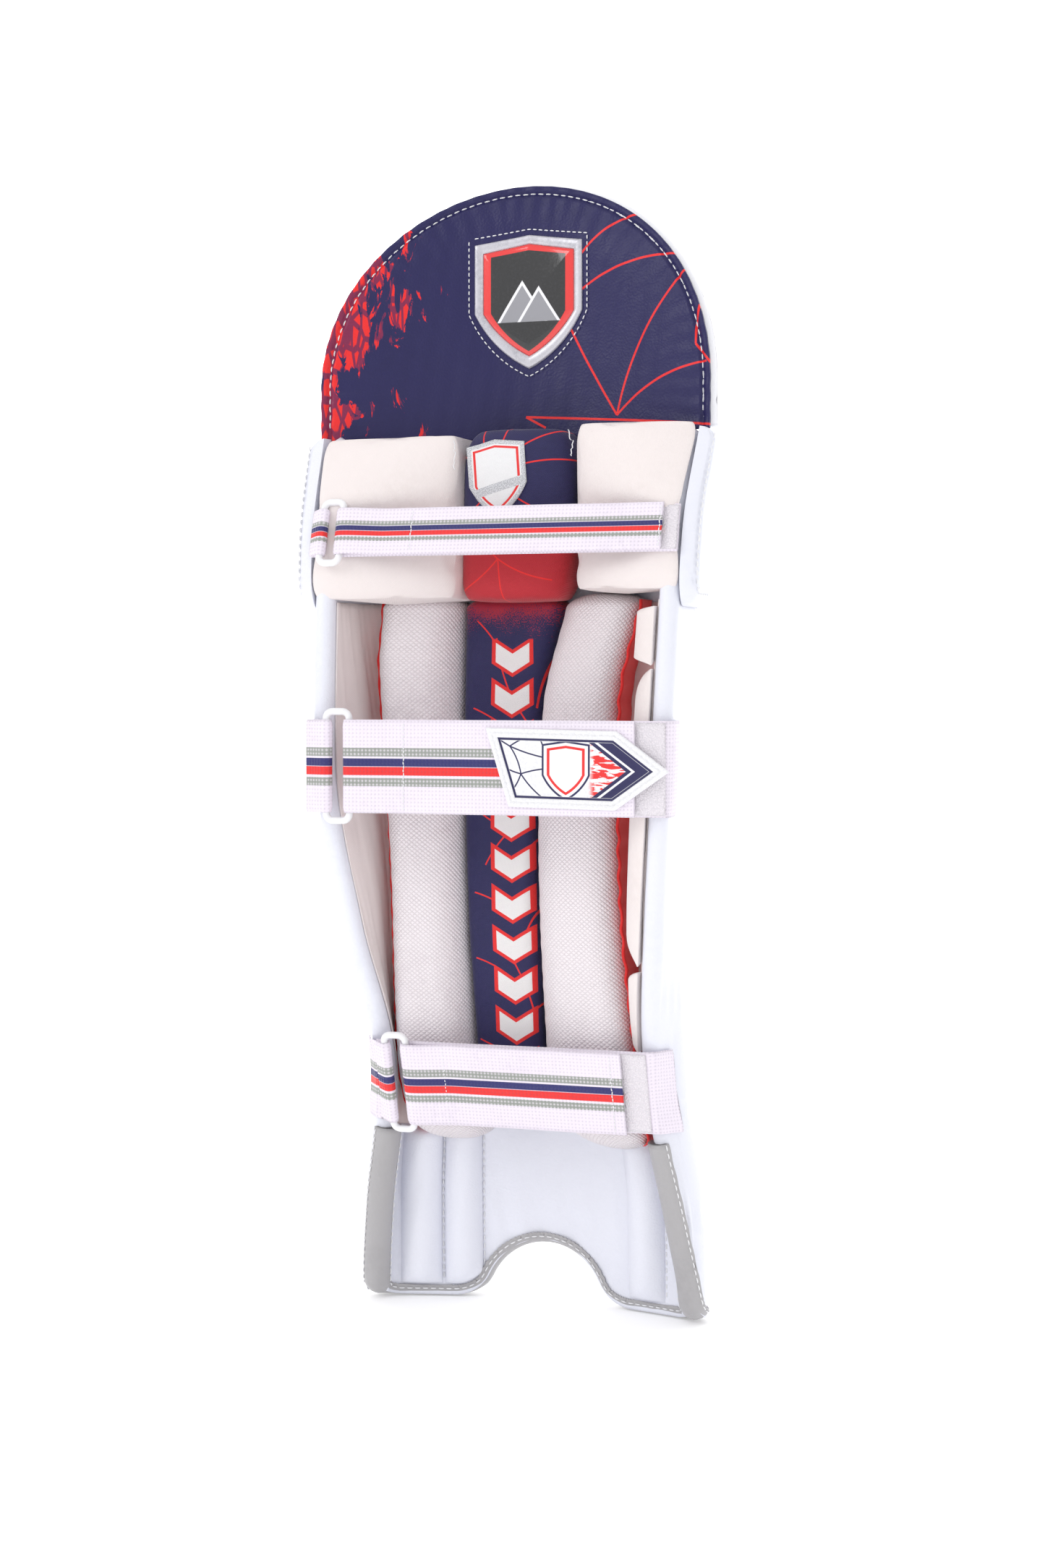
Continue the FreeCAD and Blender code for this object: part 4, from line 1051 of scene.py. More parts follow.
def print_finish(name, roughness, lines, width, fades, navy=NAVY):
    """Printed cloth: navy, red where each fade says, then the net of lines, over a fine weave."""
    made, tree, shader = start_finish(name, roughness, Sheen_Weight=0.2, Sheen_Roughness=0.4)
    place, across, height = leg_place(tree)
    colour = tinted(tree, object_place(tree), navy, NAVY_DEEP, 0.03)
    for low, high, red in fades:
        colour = blend_colours(tree, heather(tree, place, height, low, high), colour, red)
    colour = blend_colours(tree, line_mask(tree, place, lines, width), colour, RED)
    weave = use(tree, WEAVE, Place=front_place(tree), Across=0.0011, Along=0.0009)
    set_roughness(tree, shader, weave, roughness + 0.1, roughness - 0.1)
    set_bump(tree, shader, weave, 0.00014)
    return made, tree, shader, colour, place, across, height


# %% Shin strip print
STRIP_LINES = (
    (-26, 402, -8, 372, 3), (26, 398, 9, 352, -3), (-27, 352, 4, 330, 2), (22, 345, -4, 318, 2),
    (-27, 296, 2, 282, -3), (-20, 262, 8, 292, 3), (19, 300, 2, 268, 2), (-27, 246, -2, 232, 2),
    (18, 250, 0, 214, -2), (-27, 208, 4, 186, 3), (18, 196, -6, 168, 3), (-27, 160, 5, 140, 2),
    (17, 150, -8, 122, 2), (-14, 392, 6, 342, -4), (-16, 222, 7, 172, 4),
)
CHEVRON_PITCH, CHEVRON_HALF, CHEVRON_RISE = 0.0236, 0.0098, 0.0062
STRIP_MIDDLE = -0.0045


def make_strip_print():
    """Navy strip with a column of white chevrons, each edged in red, under the net of lines."""
    made, tree, shader, colour, _, across, height = print_finish(
        "shin_strip_print", 0.75, STRIP_LINES, 0.9,
        ((0.440, 0.372, (0.42, 0.02, 0.05, 1)),))
    aside = sums(tree, "ABSOLUTE", sums(tree, "SUBTRACT", across, STRIP_MIDDLE))
    lifted = sums(tree, "SUBTRACT", height, sums(tree, "MULTIPLY", aside, CHEVRON_RISE / CHEVRON_HALF))
    band = sums(tree, "WRAP", lifted, CHEVRON_PITCH / 2, -CHEVRON_PITCH / 2)
    off = sums(tree, "ABSOLUTE", band)
    column = sums(tree, "MULTIPLY", ramp(tree, height, 0.137, 0.138), ramp(tree, height, 0.392, 0.391))
    for inside, shown in ((0.0078, RED), (0.0055, (0.82, 0.80, 0.80, 1))):
        wide = ramp(tree, aside, CHEVRON_HALF + inside - 0.0052, CHEVRON_HALF + inside - 0.0055)
        thick = ramp(tree, off, inside + 0.0002, inside - 0.0002)
        mask = sums(tree, "MULTIPLY", sums(tree, "MULTIPLY", wide, thick), column)
        colour = blend_colours(tree, mask, colour, shown)
    set_colour(tree, shader, colour)
    return made


STRIP_PRINT = make_strip_print()

# %% Knee centre print
KNEE_LINES = (
    (-8, 482, -33, 496, -2), (-8, 482, -15, 512, 1), (-8, 482, 1, 512, -1), (-8, 482, 34, 509, 4),
    (-8, 482, 38, 491, 3), (-8, 482, 34, 458, -3), (-8, 482, -34, 460, 6), (-8, 482, -12, 440, 1),
    (-4, 436, -30, 418, 2), (-4, 436, -2, 412, 0), (-4, 436, 26, 424, -2), (-4, 436, -34, 452, -2),
)


def make_knee_print():
    """Navy above, heathered to red below the strap, with lines that spread from behind the shield."""
    made, tree, shader, colour, _, _, _ = print_finish(
        "knee_centre_print", 0.75, KNEE_LINES, 0.9, ((0.438, 0.476, (0.50, 0.018, 0.03, 1)),))
    set_colour(tree, shader, colour)
    return made


KNEE_PRINT = make_knee_print()

# %% [markdown]
# ## Bolsters and shin strip
# Two long bolsters cushion the shin. Each is white spacer mesh on its face, gathered to a red gusset
# on its outer side, and round at the foot. Its outline is a superellipse standing on the lining,
# carried down the pad by a table of its own, which is not the frame's: most edges stand up to 11 mm
# further left, and the bolsters are 4 to 5 mm thicker, or 15 mm at the foot. Puckers run in from the
# seams.

# %% Bolster table
BOLSTER_COLUMNS = ("height", "left_outer", "left_inner", "right_inner", "right_outer", "thick")
BOLSTERS = np.array([
    (97, -69, -24, 30, 76, 24),
    (128, -77, -30, 10, 72, 28),
    (180, -81, -32, 9, 68, 31),
    (262, -83, -34, 8, 63, 32),
    (353, -84, -35, 11, 63, 32),
    (413, -82, -36, 24, 76, 27),
], dtype=float)
CUSHION_BASE = 12.0
BOLSTER_LOW, BOLSTER_HIGH = 97.0, 418.0


def cushion_frame(height, first, last):
    """Where a cushion stands on the shell at each height: its start, and the run to its end."""
    start, _ = shell_point(run_of_front(first, height, CUSHION_BASE), height, CUSHION_BASE)
    end, _ = shell_point(run_of_front(last, height, CUSHION_BASE), height, CUSHION_BASE)
    return start, end - start


def signed_power(value, power):
    return np.sign(value) * np.abs(value) ** power


def cushion_rings(height, first, last, thick, full, square=3.2, sides=44, lift=None):
    """Rings of a cushion: x = half + half cos^(2/n), depth = sin^(2/2.3), then back along its base."""
    start, run = cushion_frame(height, first, last)
    turn = np.linspace(math.pi, 0, sides)
    over = 0.5 + 0.5 * signed_power(np.cos(turn), 2 / square)
    deep = np.abs(np.sin(turn)) ** (2 / 2.3)
    back = np.linspace(1, 0, 12)[1:-1]
    across = np.concatenate([over, back])[None, :]
    depth = np.concatenate([deep, 0 * back])[None, :]
    across = 0.5 + (across - 0.5) * full[:, None]
    depth = depth * full[:, None] * thick[:, None]
    if lift is not None:
        depth = depth * (1 + lift(height[:, None], across))
    rear = np.array([0.0, -1.0, 0.0])
    return start[:, None] + run[:, None] * across[..., None] + depth[..., None] * rear


def bolster_side(side, height):
    names = ("left_outer", "left_inner") if side == "left" else ("right_inner", "right_outer")
    return [track(BOLSTERS, BOLSTER_COLUMNS, name, height) for name in names]


def mesh_pucker(height, across):
    """Folds a few millimetres long that run in from the two side seams and die out on the face."""
    edge = np.abs(2 * across - 1) ** 6
    return (0.035 * edge * np.sin(height / 1.9 + 3 * soft_noise(61, height / 17))
            + 0.03 * soft_noise(62, height / 26, across * 5))


def add_bolster(side):
    share = np.linspace(0, 1, 230)
    height = BOLSTER_LOW + (BOLSTER_HIGH - BOLSTER_LOW) * share
    first, last = bolster_side(side, height)
    thick = track(BOLSTERS, BOLSTER_COLUMNS, "thick", height)
    foot = np.clip((height - BOLSTER_LOW) / 13.0, 0, 1)
    head = np.clip((BOLSTER_HIGH - height) / 9.0, 0, 1)
    full = np.sqrt(1 - (1 - foot) ** 2) * np.sqrt(1 - (1 - head) ** 2)
    rings = cushion_rings(height, first, last, thick, np.maximum(full, 0.02), lift=mesh_pucker)
    piece = add_tube("bolster_cover_" + side, rings, WHITE_MESH)
    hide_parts("bolster_" + side, "bolster_core_" + side)


GUSSET_OUT = {"left": 0.0, "right": 0.9}
GUSSET_FRILL = {"left": 0.15, "right": 0.8}
GUSSET_TOP = {"left": 0.45, "right": 0.74}


def add_gusset(side):
    """A red strip up the outer side of a bolster, its two seams frilled: out = 1.4 + 0.9 sin."""
    share = np.linspace(0, 1, 260)
    height = (BOLSTER_LOW + 5) + (BOLSTER_HIGH - BOLSTER_LOW - 10) * share
    first, last = bolster_side(side, height)
    start, run = cushion_frame(height, first, last)
    thick = track(BOLSTERS, BOLSTER_COLUMNS, "thick", height)
    wide = np.linalg.norm(run, axis=1)
    foot = np.sqrt(1 - (1 - np.clip((height - BOLSTER_LOW) / 13.0, 0, 1)) ** 2)
    depth = np.linspace(0, GUSSET_TOP[side], 12)
    seam = 0.35 + 0.65 * (depth / depth[-1]) ** 2
    frill = np.sin(height / 2.3 + 2.0 * soft_noise(71, height / 20))[:, None]
    out = GUSSET_OUT[side] + seam * (GUSSET_FRILL[side] * frill + 0.4 * soft_noise(72, height / 9)[:, None])
    rear = np.array([0.0, -1.0, 0.0])
    edge = 1 if side == "right" else 0
    sign = 1 if side == "right" else -1

    def layer(extra):
        across = 0.5 + (edge - 0.5) * foot[:, None] + sign * (out + extra) / wide[:, None]
        deep = depth[None, :] * thick[:, None] * foot[:, None] * (1 + 0.02 * frill)
        return start[:, None] + run[:, None] * across[..., None] + deep[..., None] * rear

    piece = add_pad("bolster_gusset_" + side, layer(0.0), layer(-1.6), RED_CLOTH)


for bolster_name in ("left", "right"):
    add_bolster(bolster_name)
    add_gusset(bolster_name)


# %% Shin strip
STRIP_THICK, STRIP_LOW = 21.0, 114.0


def add_strip():
    share = np.linspace(0, 1, 200)
    height = STRIP_LOW + (BOLSTER_HIGH - STRIP_LOW) * share
    first = track(BOLSTERS, BOLSTER_COLUMNS, "left_inner", height) - 1.0
    last = track(BOLSTERS, BOLSTER_COLUMNS, "right_inner", height) + 1.0
    end = np.sqrt(1 - (1 - np.clip(np.minimum(share, 1 - share) / 0.03, 0.02, 1)) ** 2)
    rings = cushion_rings(height, first, last, np.full(200, STRIP_THICK), end, square=8.0,
                          lift=lambda high, across: 0.06 * soft_noise(81, high / 18, across * 4))
    piece = add_tube("shin_strip_cloth", rings, STRIP_PRINT)
    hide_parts("shin_strip")


add_strip()
print("bolsters, gussets and shin strip made")

# %% [markdown]
# ## Stuffed cushions by simulation
# The knee pillows, the knee centre pad and the pads on the right wall are loose cloth filled with
# fibre. The wall pads are shaped directly. The pillows and the centre pad start as plain closed forms a
# little too small; the centre pad is remeshed evenly, and the three are blown up as cloth with air
# pressure and no weight for twenty frames. How far a point may move is capped, then one subdivision
# smooths the result. The cloth finds its own puckers at the corners.

# %% Cloth simulation
CLOTH_FRAMES = 20


def bake_modifiers(piece):
    """Turn what the modifiers show into the piece's own mesh."""
    graph = bpy.context.evaluated_depsgraph_get()
    shown = bpy.data.meshes.new_from_object(piece.evaluated_get(graph), depsgraph=graph)
    piece.modifiers.clear()
    piece.data = shown


def mesh_points(mesh):
    points = np.empty(len(mesh.vertices) * 3)
    mesh.vertices.foreach_get("co", points)
    return points.reshape(-1, 3)


def blow_up(pieces):
    """Simulate all pieces together, then cap them: pieces is {piece: (voxel, pressure, cap)}.

    A piece is remeshed evenly first, unless its voxel is 0 because its own grid is even enough.
    """
    for piece, (voxel, pressure, _) in pieces.items():
        if voxel:
            remesh = piece.modifiers.new("even", "REMESH")
            remesh.mode = "VOXEL"
            remesh.voxel_size = voxel
            bake_modifiers(piece)
        cloth_made = piece.modifiers.new("stuffing", "CLOTH")
        cloth_made.settings.use_pressure = True
        cloth_made.settings.uniform_pressure_force = pressure
        cloth_made.settings.effector_weights.gravity = 0.0
        cloth_made.settings.quality = 5
        cloth_made.point_cache.frame_end = CLOTH_FRAMES
    before = {piece: mesh_points(piece.data) for piece in pieces}
    for number in range(1, CLOTH_FRAMES + 1):
        bpy.context.scene.frame_set(number)
    for piece, (_, _, cap) in pieces.items():
        bake_modifiers(piece)
        after = mesh_points(piece.data)
        moved = after - before[piece]
        far = np.linalg.norm(moved, axis=1, keepdims=True)
        after = before[piece] + moved * np.minimum(1, cap * MM / np.maximum(far, 1e-9))
        piece.data.vertices.foreach_set("co", after.reshape(-1))
        finer = piece.modifiers.new("finer", "SUBSURF")
        finer.levels = 1
        finer.render_levels = 1
        bake_modifiers(piece)
        piece.data.polygons.foreach_set("use_smooth", np.ones(len(piece.data.polygons), dtype=bool))
        print(piece.name, "moved up to %.1f mm" % (float(np.minimum(far, cap * MM).max()) / MM))


# %% Knee pillows
PILLOW_BASE = 13.6
PILLOW_DEEP, PILLOW_BULGE = 44.0, 8.0
STRAP_HEIGHT = 450.0
PILLOWS = {"left": (-1.0, 28.0, 414.0, 506.0), "right": (1.0, 40.0, 418.0, 510.0)}


def pillow_rear(across, height):
    """How far to the rear the cushion reaches: deepest in the middle, flush with the rear edge."""
    found = section_at(height)
    middle = found["front"] - PILLOW_BASE - PILLOW_DEEP
    return middle + (found["edge_y"] - middle) * np.minimum(across / found["edge_x"], 1) ** 2


def pillow_rings(side, across, low, high, inset=0.8):
    """Rings along the wall, the corner and the front, then back over a bulging face."""
    share = crowded(46)
    height = low + (high - low) * share
    outer_run = 3 - 2.0 / section_at(height)["wall_long"]
    inner_run = run_of_front(across, height, PILLOW_BASE)
    along = np.linspace(0, 1, 30)[None, :]
    run = outer_run[:, None] + (inner_run - outer_run)[:, None] * along
    shell, _ = shell_point(run, height[:, None] + 0 * run, PILLOW_BASE)
    lip, _ = shell_point(3.0, height[:, None], np.array([[-0.6, 4.0, 9.0]]))
    strap = 1 - 0.85 * np.exp(-((height - STRAP_HEIGHT) / 17.0) ** 4)[:, None]
    lip[..., 1] += 0.4
    back = np.stack([np.full(height.size, across), pillow_rear(across, height), height], axis=-1)
    side_line = shell[:, -1:] + (back[:, None] - shell[:, -1:]) * np.linspace(0, 1, 18)[1:, None]
    over = crowded(46)[None, 1:-1, None]
    face = back[:, None] + (lip[:, :1] - back[:, None]) * over
    face[..., 1] -= (PILLOW_BULGE * np.sin(math.pi * over) ** 0.45)[..., 0] * strap
    face[..., 1] += 1.5 * (1 - strap)
    rings = np.concatenate([lip, shell, side_line, face], axis=1)
    centre = rings.mean(axis=1, keepdims=True)
    round_end = np.sqrt(1 - (1 - np.clip(np.minimum(share, 1 - share) / 0.14, 0, 1)) ** 2)
    size = np.linalg.norm(rings - centre, axis=2, keepdims=True)
    shrink = 1 - inset / np.maximum(size, 2 * inset)
    squeeze = (0.90 + 0.10 * round_end)[:, None, None]
    rings = centre + (rings - centre) * shrink * squeeze
    rings[..., 0] *= side
    return rings


def add_pillow(name):
    piece = add_tube("knee_pillow_cloth_" + name, pillow_rings(*PILLOWS[name]), CREAM_TWILL)
    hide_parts("knee_pillow_" + name)
    return piece


# %% Knee centre pad
CENTRE_LOW, CENTRE_HIGH, CENTRE_DEEP = 413.0, 509.0, 46.0


def add_centre_pad():
    """A slab between the pillows: narrower at its top, its face crowned and its corners rounded."""
    share = crowded(30)
    height = CENTRE_LOW + (CENTRE_HIGH - CENTRE_LOW) * share
    shoulder = 5.0 * np.clip((share - 0.7) / 0.3, 0, 1) ** 2
    left = -30.0 + shoulder - 2.0 * (1 - share)
    right = 38.0 - shoulder - 7.0 * (1 - share) ** 2
    found = section_at(height)
    front = found["front"] - PILLOW_BASE - 1.5
    turn = np.linspace(0, 2 * math.pi, 73)[:-1]
    over = 0.5 + 0.5 * signed_power(np.cos(turn), 0.42)
    deep = 0.5 - 0.5 * signed_power(np.sin(turn), 0.42)
    end = np.sqrt(1 - (1 - np.clip(np.minimum(share, 1 - share) / 0.12, 0, 1)) ** 2)[:, None]
    spread = 0.86 + 0.14 * end
    across = (left[:, None] + right[:, None]) / 2 + (right - left)[:, None] * (over - 0.5) * spread
    crown = 7.0 * np.sin(math.pi * np.clip(over, 0, 1))
    depth = (CENTRE_DEEP - 5 + crown * (deep > 0.5)) * (0.5 + (deep - 0.5) * (0.7 + 0.3 * end))
    rings = np.stack([across, front[:, None] - depth, height[:, None] + 0 * across], axis=-1)
    piece = add_tube("knee_centre_cloth", rings, KNEE_PRINT)
    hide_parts("knee_centre_pad")
    return piece


# %% Pads on the right wall
SIDE_PADS = {"roll_upper": (376, 408, 3.0, 27.0, 12.0), "pad": (210, 374, 3.5, 27.5, 9.5),
             "roll_lower": (158, 206, 3.5, 16.0, 7.0)}


def add_side_pad(name, low, high, near, far, thick):
    """A stuffed piece on the wall's inner face, from near to far behind the rear edge."""
    share = crowded(40)[:, None]
    width = crowded(22)[None, :]
    height = low + (high - low) * share
    lower = 7.0 * (1 - share) ** 8 * width
    place = near + (far - near) * width + 0 * share
    full = np.sin(math.pi * width) ** 0.6 * edge_rise(share, 0.10)
    run = wall_run(place, height)
    face, _ = shell_point(run, height + lower, 13.4 + thick * full)
    back, _ = shell_point(run, height + lower, 12.8)
    label = "side_" + name
    piece = add_pad(label + "_cloth", face, back, CREAM_TWILL)
    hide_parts(label)
    return piece


for name, measures in SIDE_PADS.items():
    add_side_pad(name, *measures)
blow_up({
    add_pillow("left"): (0, 4.0, 6.0),
    add_pillow("right"): (0, 4.0, 6.0),
    add_centre_pad(): (0.0045, 4.0, 7.0),
})

# %% [markdown]
# ## Top flap
# The flap is a half-round panel on a short straight neck. Its ball side is white leather cloth over
# foam; its leg side is a navy printed liner, sewn down a finger's width inside the edge so that it
# swells between the seam and the middle.

# %% Flap outline
FLAP_LOW, FLAP_SPRING, FLAP_RADIUS = 510.0, 534.0, 118.0
FLAP_CURVE, FLAP_AXIS = 240.0, 11.0 - 240.0


def flap_grid(inset, rows=90, columns=121, low=FLAP_LOW):
    """x and z over the flap: straight rows to the spring line, then rows of the half circle."""
    radius = FLAP_RADIUS - inset
    straight = np.linspace(low, FLAP_SPRING, rows // 4)[:-1]
    climb = np.sin(np.linspace(0, math.pi / 2, rows - rows // 4))
    half = np.concatenate([np.full(straight.size, radius), radius * np.sqrt(1 - climb ** 2)])
    height = np.concatenate([straight, FLAP_SPRING + radius * climb])
    share = np.sin(np.linspace(-math.pi / 2, math.pi / 2, columns))
    return half[:, None] * share[None, :], height[:, None] + 0 * share[None, :]


def flap_edge_distance(x, z):
    """How far a place is inside the flap's curved edge, in millimetres."""
    return FLAP_RADIUS - np.hypot(x, np.maximum(z - FLAP_SPRING, 0))


def on_flap(x, z, depth):
    """The flap is a sheet of a cylinder about an upright axis: depth is out from the liner's face."""
    radius = FLAP_CURVE + depth
    return np.stack([x, FLAP_AXIS + np.sqrt(radius ** 2 - x ** 2), z], axis=-1)


def add_flap_shell():
    """Cover and foam in one closed form: flat on the leg side, gently ribbed on the ball side."""
    x, z = flap_grid(0.0, low=FLAP_LOW - 1.5)
    inside = np.clip(flap_edge_distance(x, z) / 9.0, 0, 1)
    swell = np.sqrt(1 - (1 - inside) ** 2)
    groove = np.exp(-((np.mod(x + 16.5, 33.0) - 16.5) / 2.2) ** 2)
    low_seam = np.exp(-((z - 522.0) / 2.0) ** 2)
    front = 9.5 + 11.0 * swell * (1 - 0.13 * groove) - 1.6 * low_seam + 0.25 * soft_noise(90, x / 12, z / 15)
    rear = 9.5 - 8.0 * swell
    piece = add_pad("flap_shell", on_flap(x, z, front), on_flap(x, z, rear), PU_FRONT, None)
    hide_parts("flap_cover", "flap_foam")
    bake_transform(piece)


add_flap_shell()

# %% Liner print
FLAP_LINES = (
    (57, 517, 25, 572, 1), (57, 517, 101, 596, 7), (57, 517, 114, 543, 6), (0, 518.5, 118, 508, 1),
    (0, 518.5, 12, 512, 0), (32, 607, 72, 629, 5), (32, 588, 95, 604, 6), (107, 553, 114, 588, 2),
    (107, 553, 118, 540, 0),
)


def make_liner_print():
    """Navy leather cloth with the net of lines, and a red flame of torn strokes up the left side.

    The strokes are stretched noise cut at a level; they grow towards the left edge and break up.
    """
    made, tree, shader = start_finish("flap_liner_print", 0.42, Specular_IOR_Level=0.35)
    place, across, _ = leg_place(tree)
    grain = use(tree, GRAIN, Place=object_place(tree), Pebble=0.0012).node
    turned = put(tree, "ShaderNodeMapping", {"Vector": place, "Rotation": (0.0, 0.0, 0.62),
                                             "Scale": (1.0, 0.34, 1.0)})
    stroke = put(tree, "ShaderNodeTexNoise", {"Vector": turned, "Scale": 85.0, "Detail": 7.0,
                                              "Roughness": 0.62, "Distortion": 1.5})
    fine = put(tree, "ShaderNodeTexVoronoi", {"Vector": turned, "Scale": 230.0},
               feature="DISTANCE_TO_EDGE")
    from_left = ramp(tree, across, -0.118, -0.042, 1.0, 0.0)
    body = ramp(tree, put(tree, "ShaderNodeTexNoise", {"Vector": place, "Scale": 17.0, "Detail": 3.0}),
                0.36, 0.62)
    level = sums(tree, "MULTIPLY_ADD", sums(tree, "MULTIPLY", from_left, body), 0.34, stroke)
    torn = ramp(tree, level, 0.660, 0.675)
    scales = ramp(tree, fine, 0.10, 0.16)
    torn = sums(tree, "MULTIPLY", torn, sums(tree, "MULTIPLY_ADD", scales, 0.75, 0.25))
    torn = sums(tree, "MULTIPLY", torn, ramp(tree, across, -0.052, -0.040, 1.0, 0.0))
    colour = tinted(tree, object_place(tree), NAVY, NAVY_DEEP, 0.06)
    colour = blend_colours(tree, torn, colour, RED)
    colour = blend_colours(tree, line_mask(tree, place, FLAP_LINES, 1.3), colour, RED)
    set_colour(tree, shader, colour)
    set_roughness(tree, shader, grain.outputs["Crease"], 0.36, 0.5)
    set_bump(tree, shader, grain.outputs["Height"], 0.0002)
    return made


LINER_PRINT = make_liner_print()

# %% Liner
LINER_SEAM = 6.5
BADGE_X, BADGE_Z = 2.0, 584.0


def liner_depth(x, z):
    """Depth of the liner's face: a groove at the edge seam, a swell inside it, soft upright folds."""
    inside = flap_edge_distance(x, z)
    swell = np.clip((inside - LINER_SEAM) / 30.0, 0, 1)
    rim = np.clip((inside - 2.0) / 3.5, 0, 1)
    groove = np.exp(-((inside - LINER_SEAM) / 1.3) ** 2)
    pull = np.exp(-np.clip(inside - LINER_SEAM, 0, None) / 16)
    folds = (1.2 * soft_noise(91, x / 13, z / 60) * (0.35 + swell)
             + 0.35 * pull * np.sin(np.arctan2(z - FLAP_SPRING, x) * 64 + 2 * soft_noise(92, x / 15)))
    badge = np.exp(-((np.hypot((x - BADGE_X) / 40, (z - BADGE_Z) / 46)) ** 6))
    depth = 1.2 - 2.8 * np.sin(swell * math.pi / 2) - 1.2 * np.sqrt(1 - (1 - rim) ** 2) + 1.5 * groove
    return depth * (1 - badge) - 1.0 * badge + folds * (1 - badge)


def add_liner():
    """A closed sheet 1.4 thick whose rear face is the swelling surface."""
    x, z = flap_grid(2.0, rows=120, columns=161, low=FLAP_LOW - 4.0)
    depth = liner_depth(x, z)
    piece = add_pad("flap_liner_cloth", on_flap(x, z, depth), on_flap(x, z, depth + 1.6), LINER_PRINT, None)
    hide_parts("flap_liner")
    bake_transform(piece)


add_liner()


def flap_edge_line(inset, count=220, low=FLAP_LOW + 2):
    """The flap's curved edge at an inset, from its lower left corner round to its lower right."""
    radius = FLAP_RADIUS - inset
    turn = np.linspace(math.pi, 0, count)
    left = np.linspace(low, FLAP_SPRING, 20)[:-1]
    x = np.concatenate([np.full(19, -radius), radius * np.cos(turn), np.full(19, radius)])
    z = np.concatenate([left, FLAP_SPRING + radius * np.sin(turn), left[::-1]])
    return x, z


def add_flap_stitches():
    x, z = flap_edge_line(LINER_SEAM)
    path = on_flap(x, z, liner_depth(x, z) - 0.1)
    rear = np.stack([x / FLAP_CURVE, -np.ones_like(x), 0 * x], axis=-1)
    piece = add_stitches("flap_liner_stitches", path, rear, None)
    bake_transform(piece)
    x, z = flap_edge_line(10.0)
    front = add_stitches("flap_shell_stitches", on_flap(x, z, 20.4), -rear, None)
    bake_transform(front)


add_flap_stitches()
print("flap made")

# %% [markdown]
# ## Badge
# A moulded shield sits on the liner: a satin silver rim, a red line inside it and a black domed face
# as glossy as resin. Its mark is a plain pair of peaks, drawn for this pad and standing for nothing.
# The outline is six sides; sweeping it inwards while it rises gives the rim, and shrinking it to its
# middle gives the dome.

# %% Shield outline
def shield_line(wide, tall, inset, sides=(24, 30, 30, 24, 20, 20)):
    """A closed shield outline about its own middle, drawn an inset inside the largest one."""
    half = wide / 2 - inset
    top = tall * SHIELD["shoulder"] - inset
    low = -tall * SHIELD["waist"]
    point = -tall / 2 + SHIELD["miter"] * inset
    swing = SHIELD["swing"] * tall
    chord = np.array([half, low - point])
    length = np.linalg.norm(chord)
    centre = np.array([half / 2, (low + point) / 2]) + np.array([-chord[1], chord[0]]) / length * math.sqrt(
        swing ** 2 - length ** 2 / 4)
    first = math.atan2(point - centre[1], 0 - centre[0])
    last = math.atan2(low - centre[1], half - centre[0])

    def span(start, end, count):
        return start + (end - start) * np.linspace(0, 1, count, endpoint=False)[:, None]

    arc = first + (last - first) * np.linspace(0, 1, sides[2], endpoint=False)
    right = np.stack([centre[0] + swing * np.cos(arc), centre[1] + swing * np.sin(arc)], axis=-1)
    left = np.stack([-right[:, 0], right[:, 1]], axis=-1)[::-1]
    corner = np.array([-half, low])
    left = np.concatenate([[corner], left[:-1]])
    return np.concatenate([
        span(np.array([-half, top]), corner, sides[0]), left, right,
        span(np.array([half, low]), np.array([half, top]), sides[3]),
        span(np.array([half, top]), np.array([0.0, tall / 2 - inset]), sides[4]),
        span(np.array([0.0, tall / 2 - inset]), np.array([-half, top]), sides[5])])


def emboss(name, outlines, place, material, body):
    """Rings of an outline at rising heights: place(x, z, height) puts them on the cloth."""
    rings = np.stack([place(line[:, 0], line[:, 1], np.full(len(line), high)) for line, high in outlines])
    return add_tube(name, rings, material, body)


def on_badge(x, z, height):
    return on_flap(x + BADGE_X, z + BADGE_Z, -0.6 - height)


# %% Badge finishes
BADGE_WIDE, BADGE_TALL = 65.0, 76.0


def badge_place(tree, centre_x, centre_z, turn=0.0):
    """x and z from the middle of an emblem, turned by its tilt."""
    place, _, _ = leg_place(tree)
    moved = put(tree, "ShaderNodeVectorMath", {0: place, 1: (centre_x * MM, centre_z * MM, 0.0)},
                operation="SUBTRACT")
    return put(tree, "ShaderNodeMapping", {"Vector": moved, "Rotation": (0.0, 0.0, -turn)})


def shield_inside(tree, place, wide, tall):
    circle = shield_circle(wide * MM, tall * MM)
    return use(tree, SHIELD_GROUP, Place=place, Wide=wide * MM, Tall=tall * MM,
               **{"Circle x": float(circle[0]), "Circle y": float(circle[1])})


def band_mask(tree, value, low, high, soft=0.00015):
    """1 where a number lies between two others."""
    return sums(tree, "MULTIPLY", ramp(tree, value, low - soft, low + soft),
                ramp(tree, value, high - soft, high + soft, 1.0, 0.0))


def make_badge_silver():
    made, tree, shader = start_finish("badge_satin_silver", 0.3, Metallic=0.35, Coat_Weight=0.3)
    place = object_place(tree)
    brushed = put(tree, "ShaderNodeTexNoise", {"Vector": place, "Scale": 420.0, "Detail": 4.0})
    worn = use(tree, WEAR, Place=place, Size=0.02)
    set_colour(tree, shader, blend_colours(tree, worn, (0.58, 0.57, 0.62, 1), (0.4, 0.4, 0.45, 1)))
    set_roughness(tree, shader, brushed, 0.22, 0.4)
    set_bump(tree, shader, brushed, 0.00006)
    return made


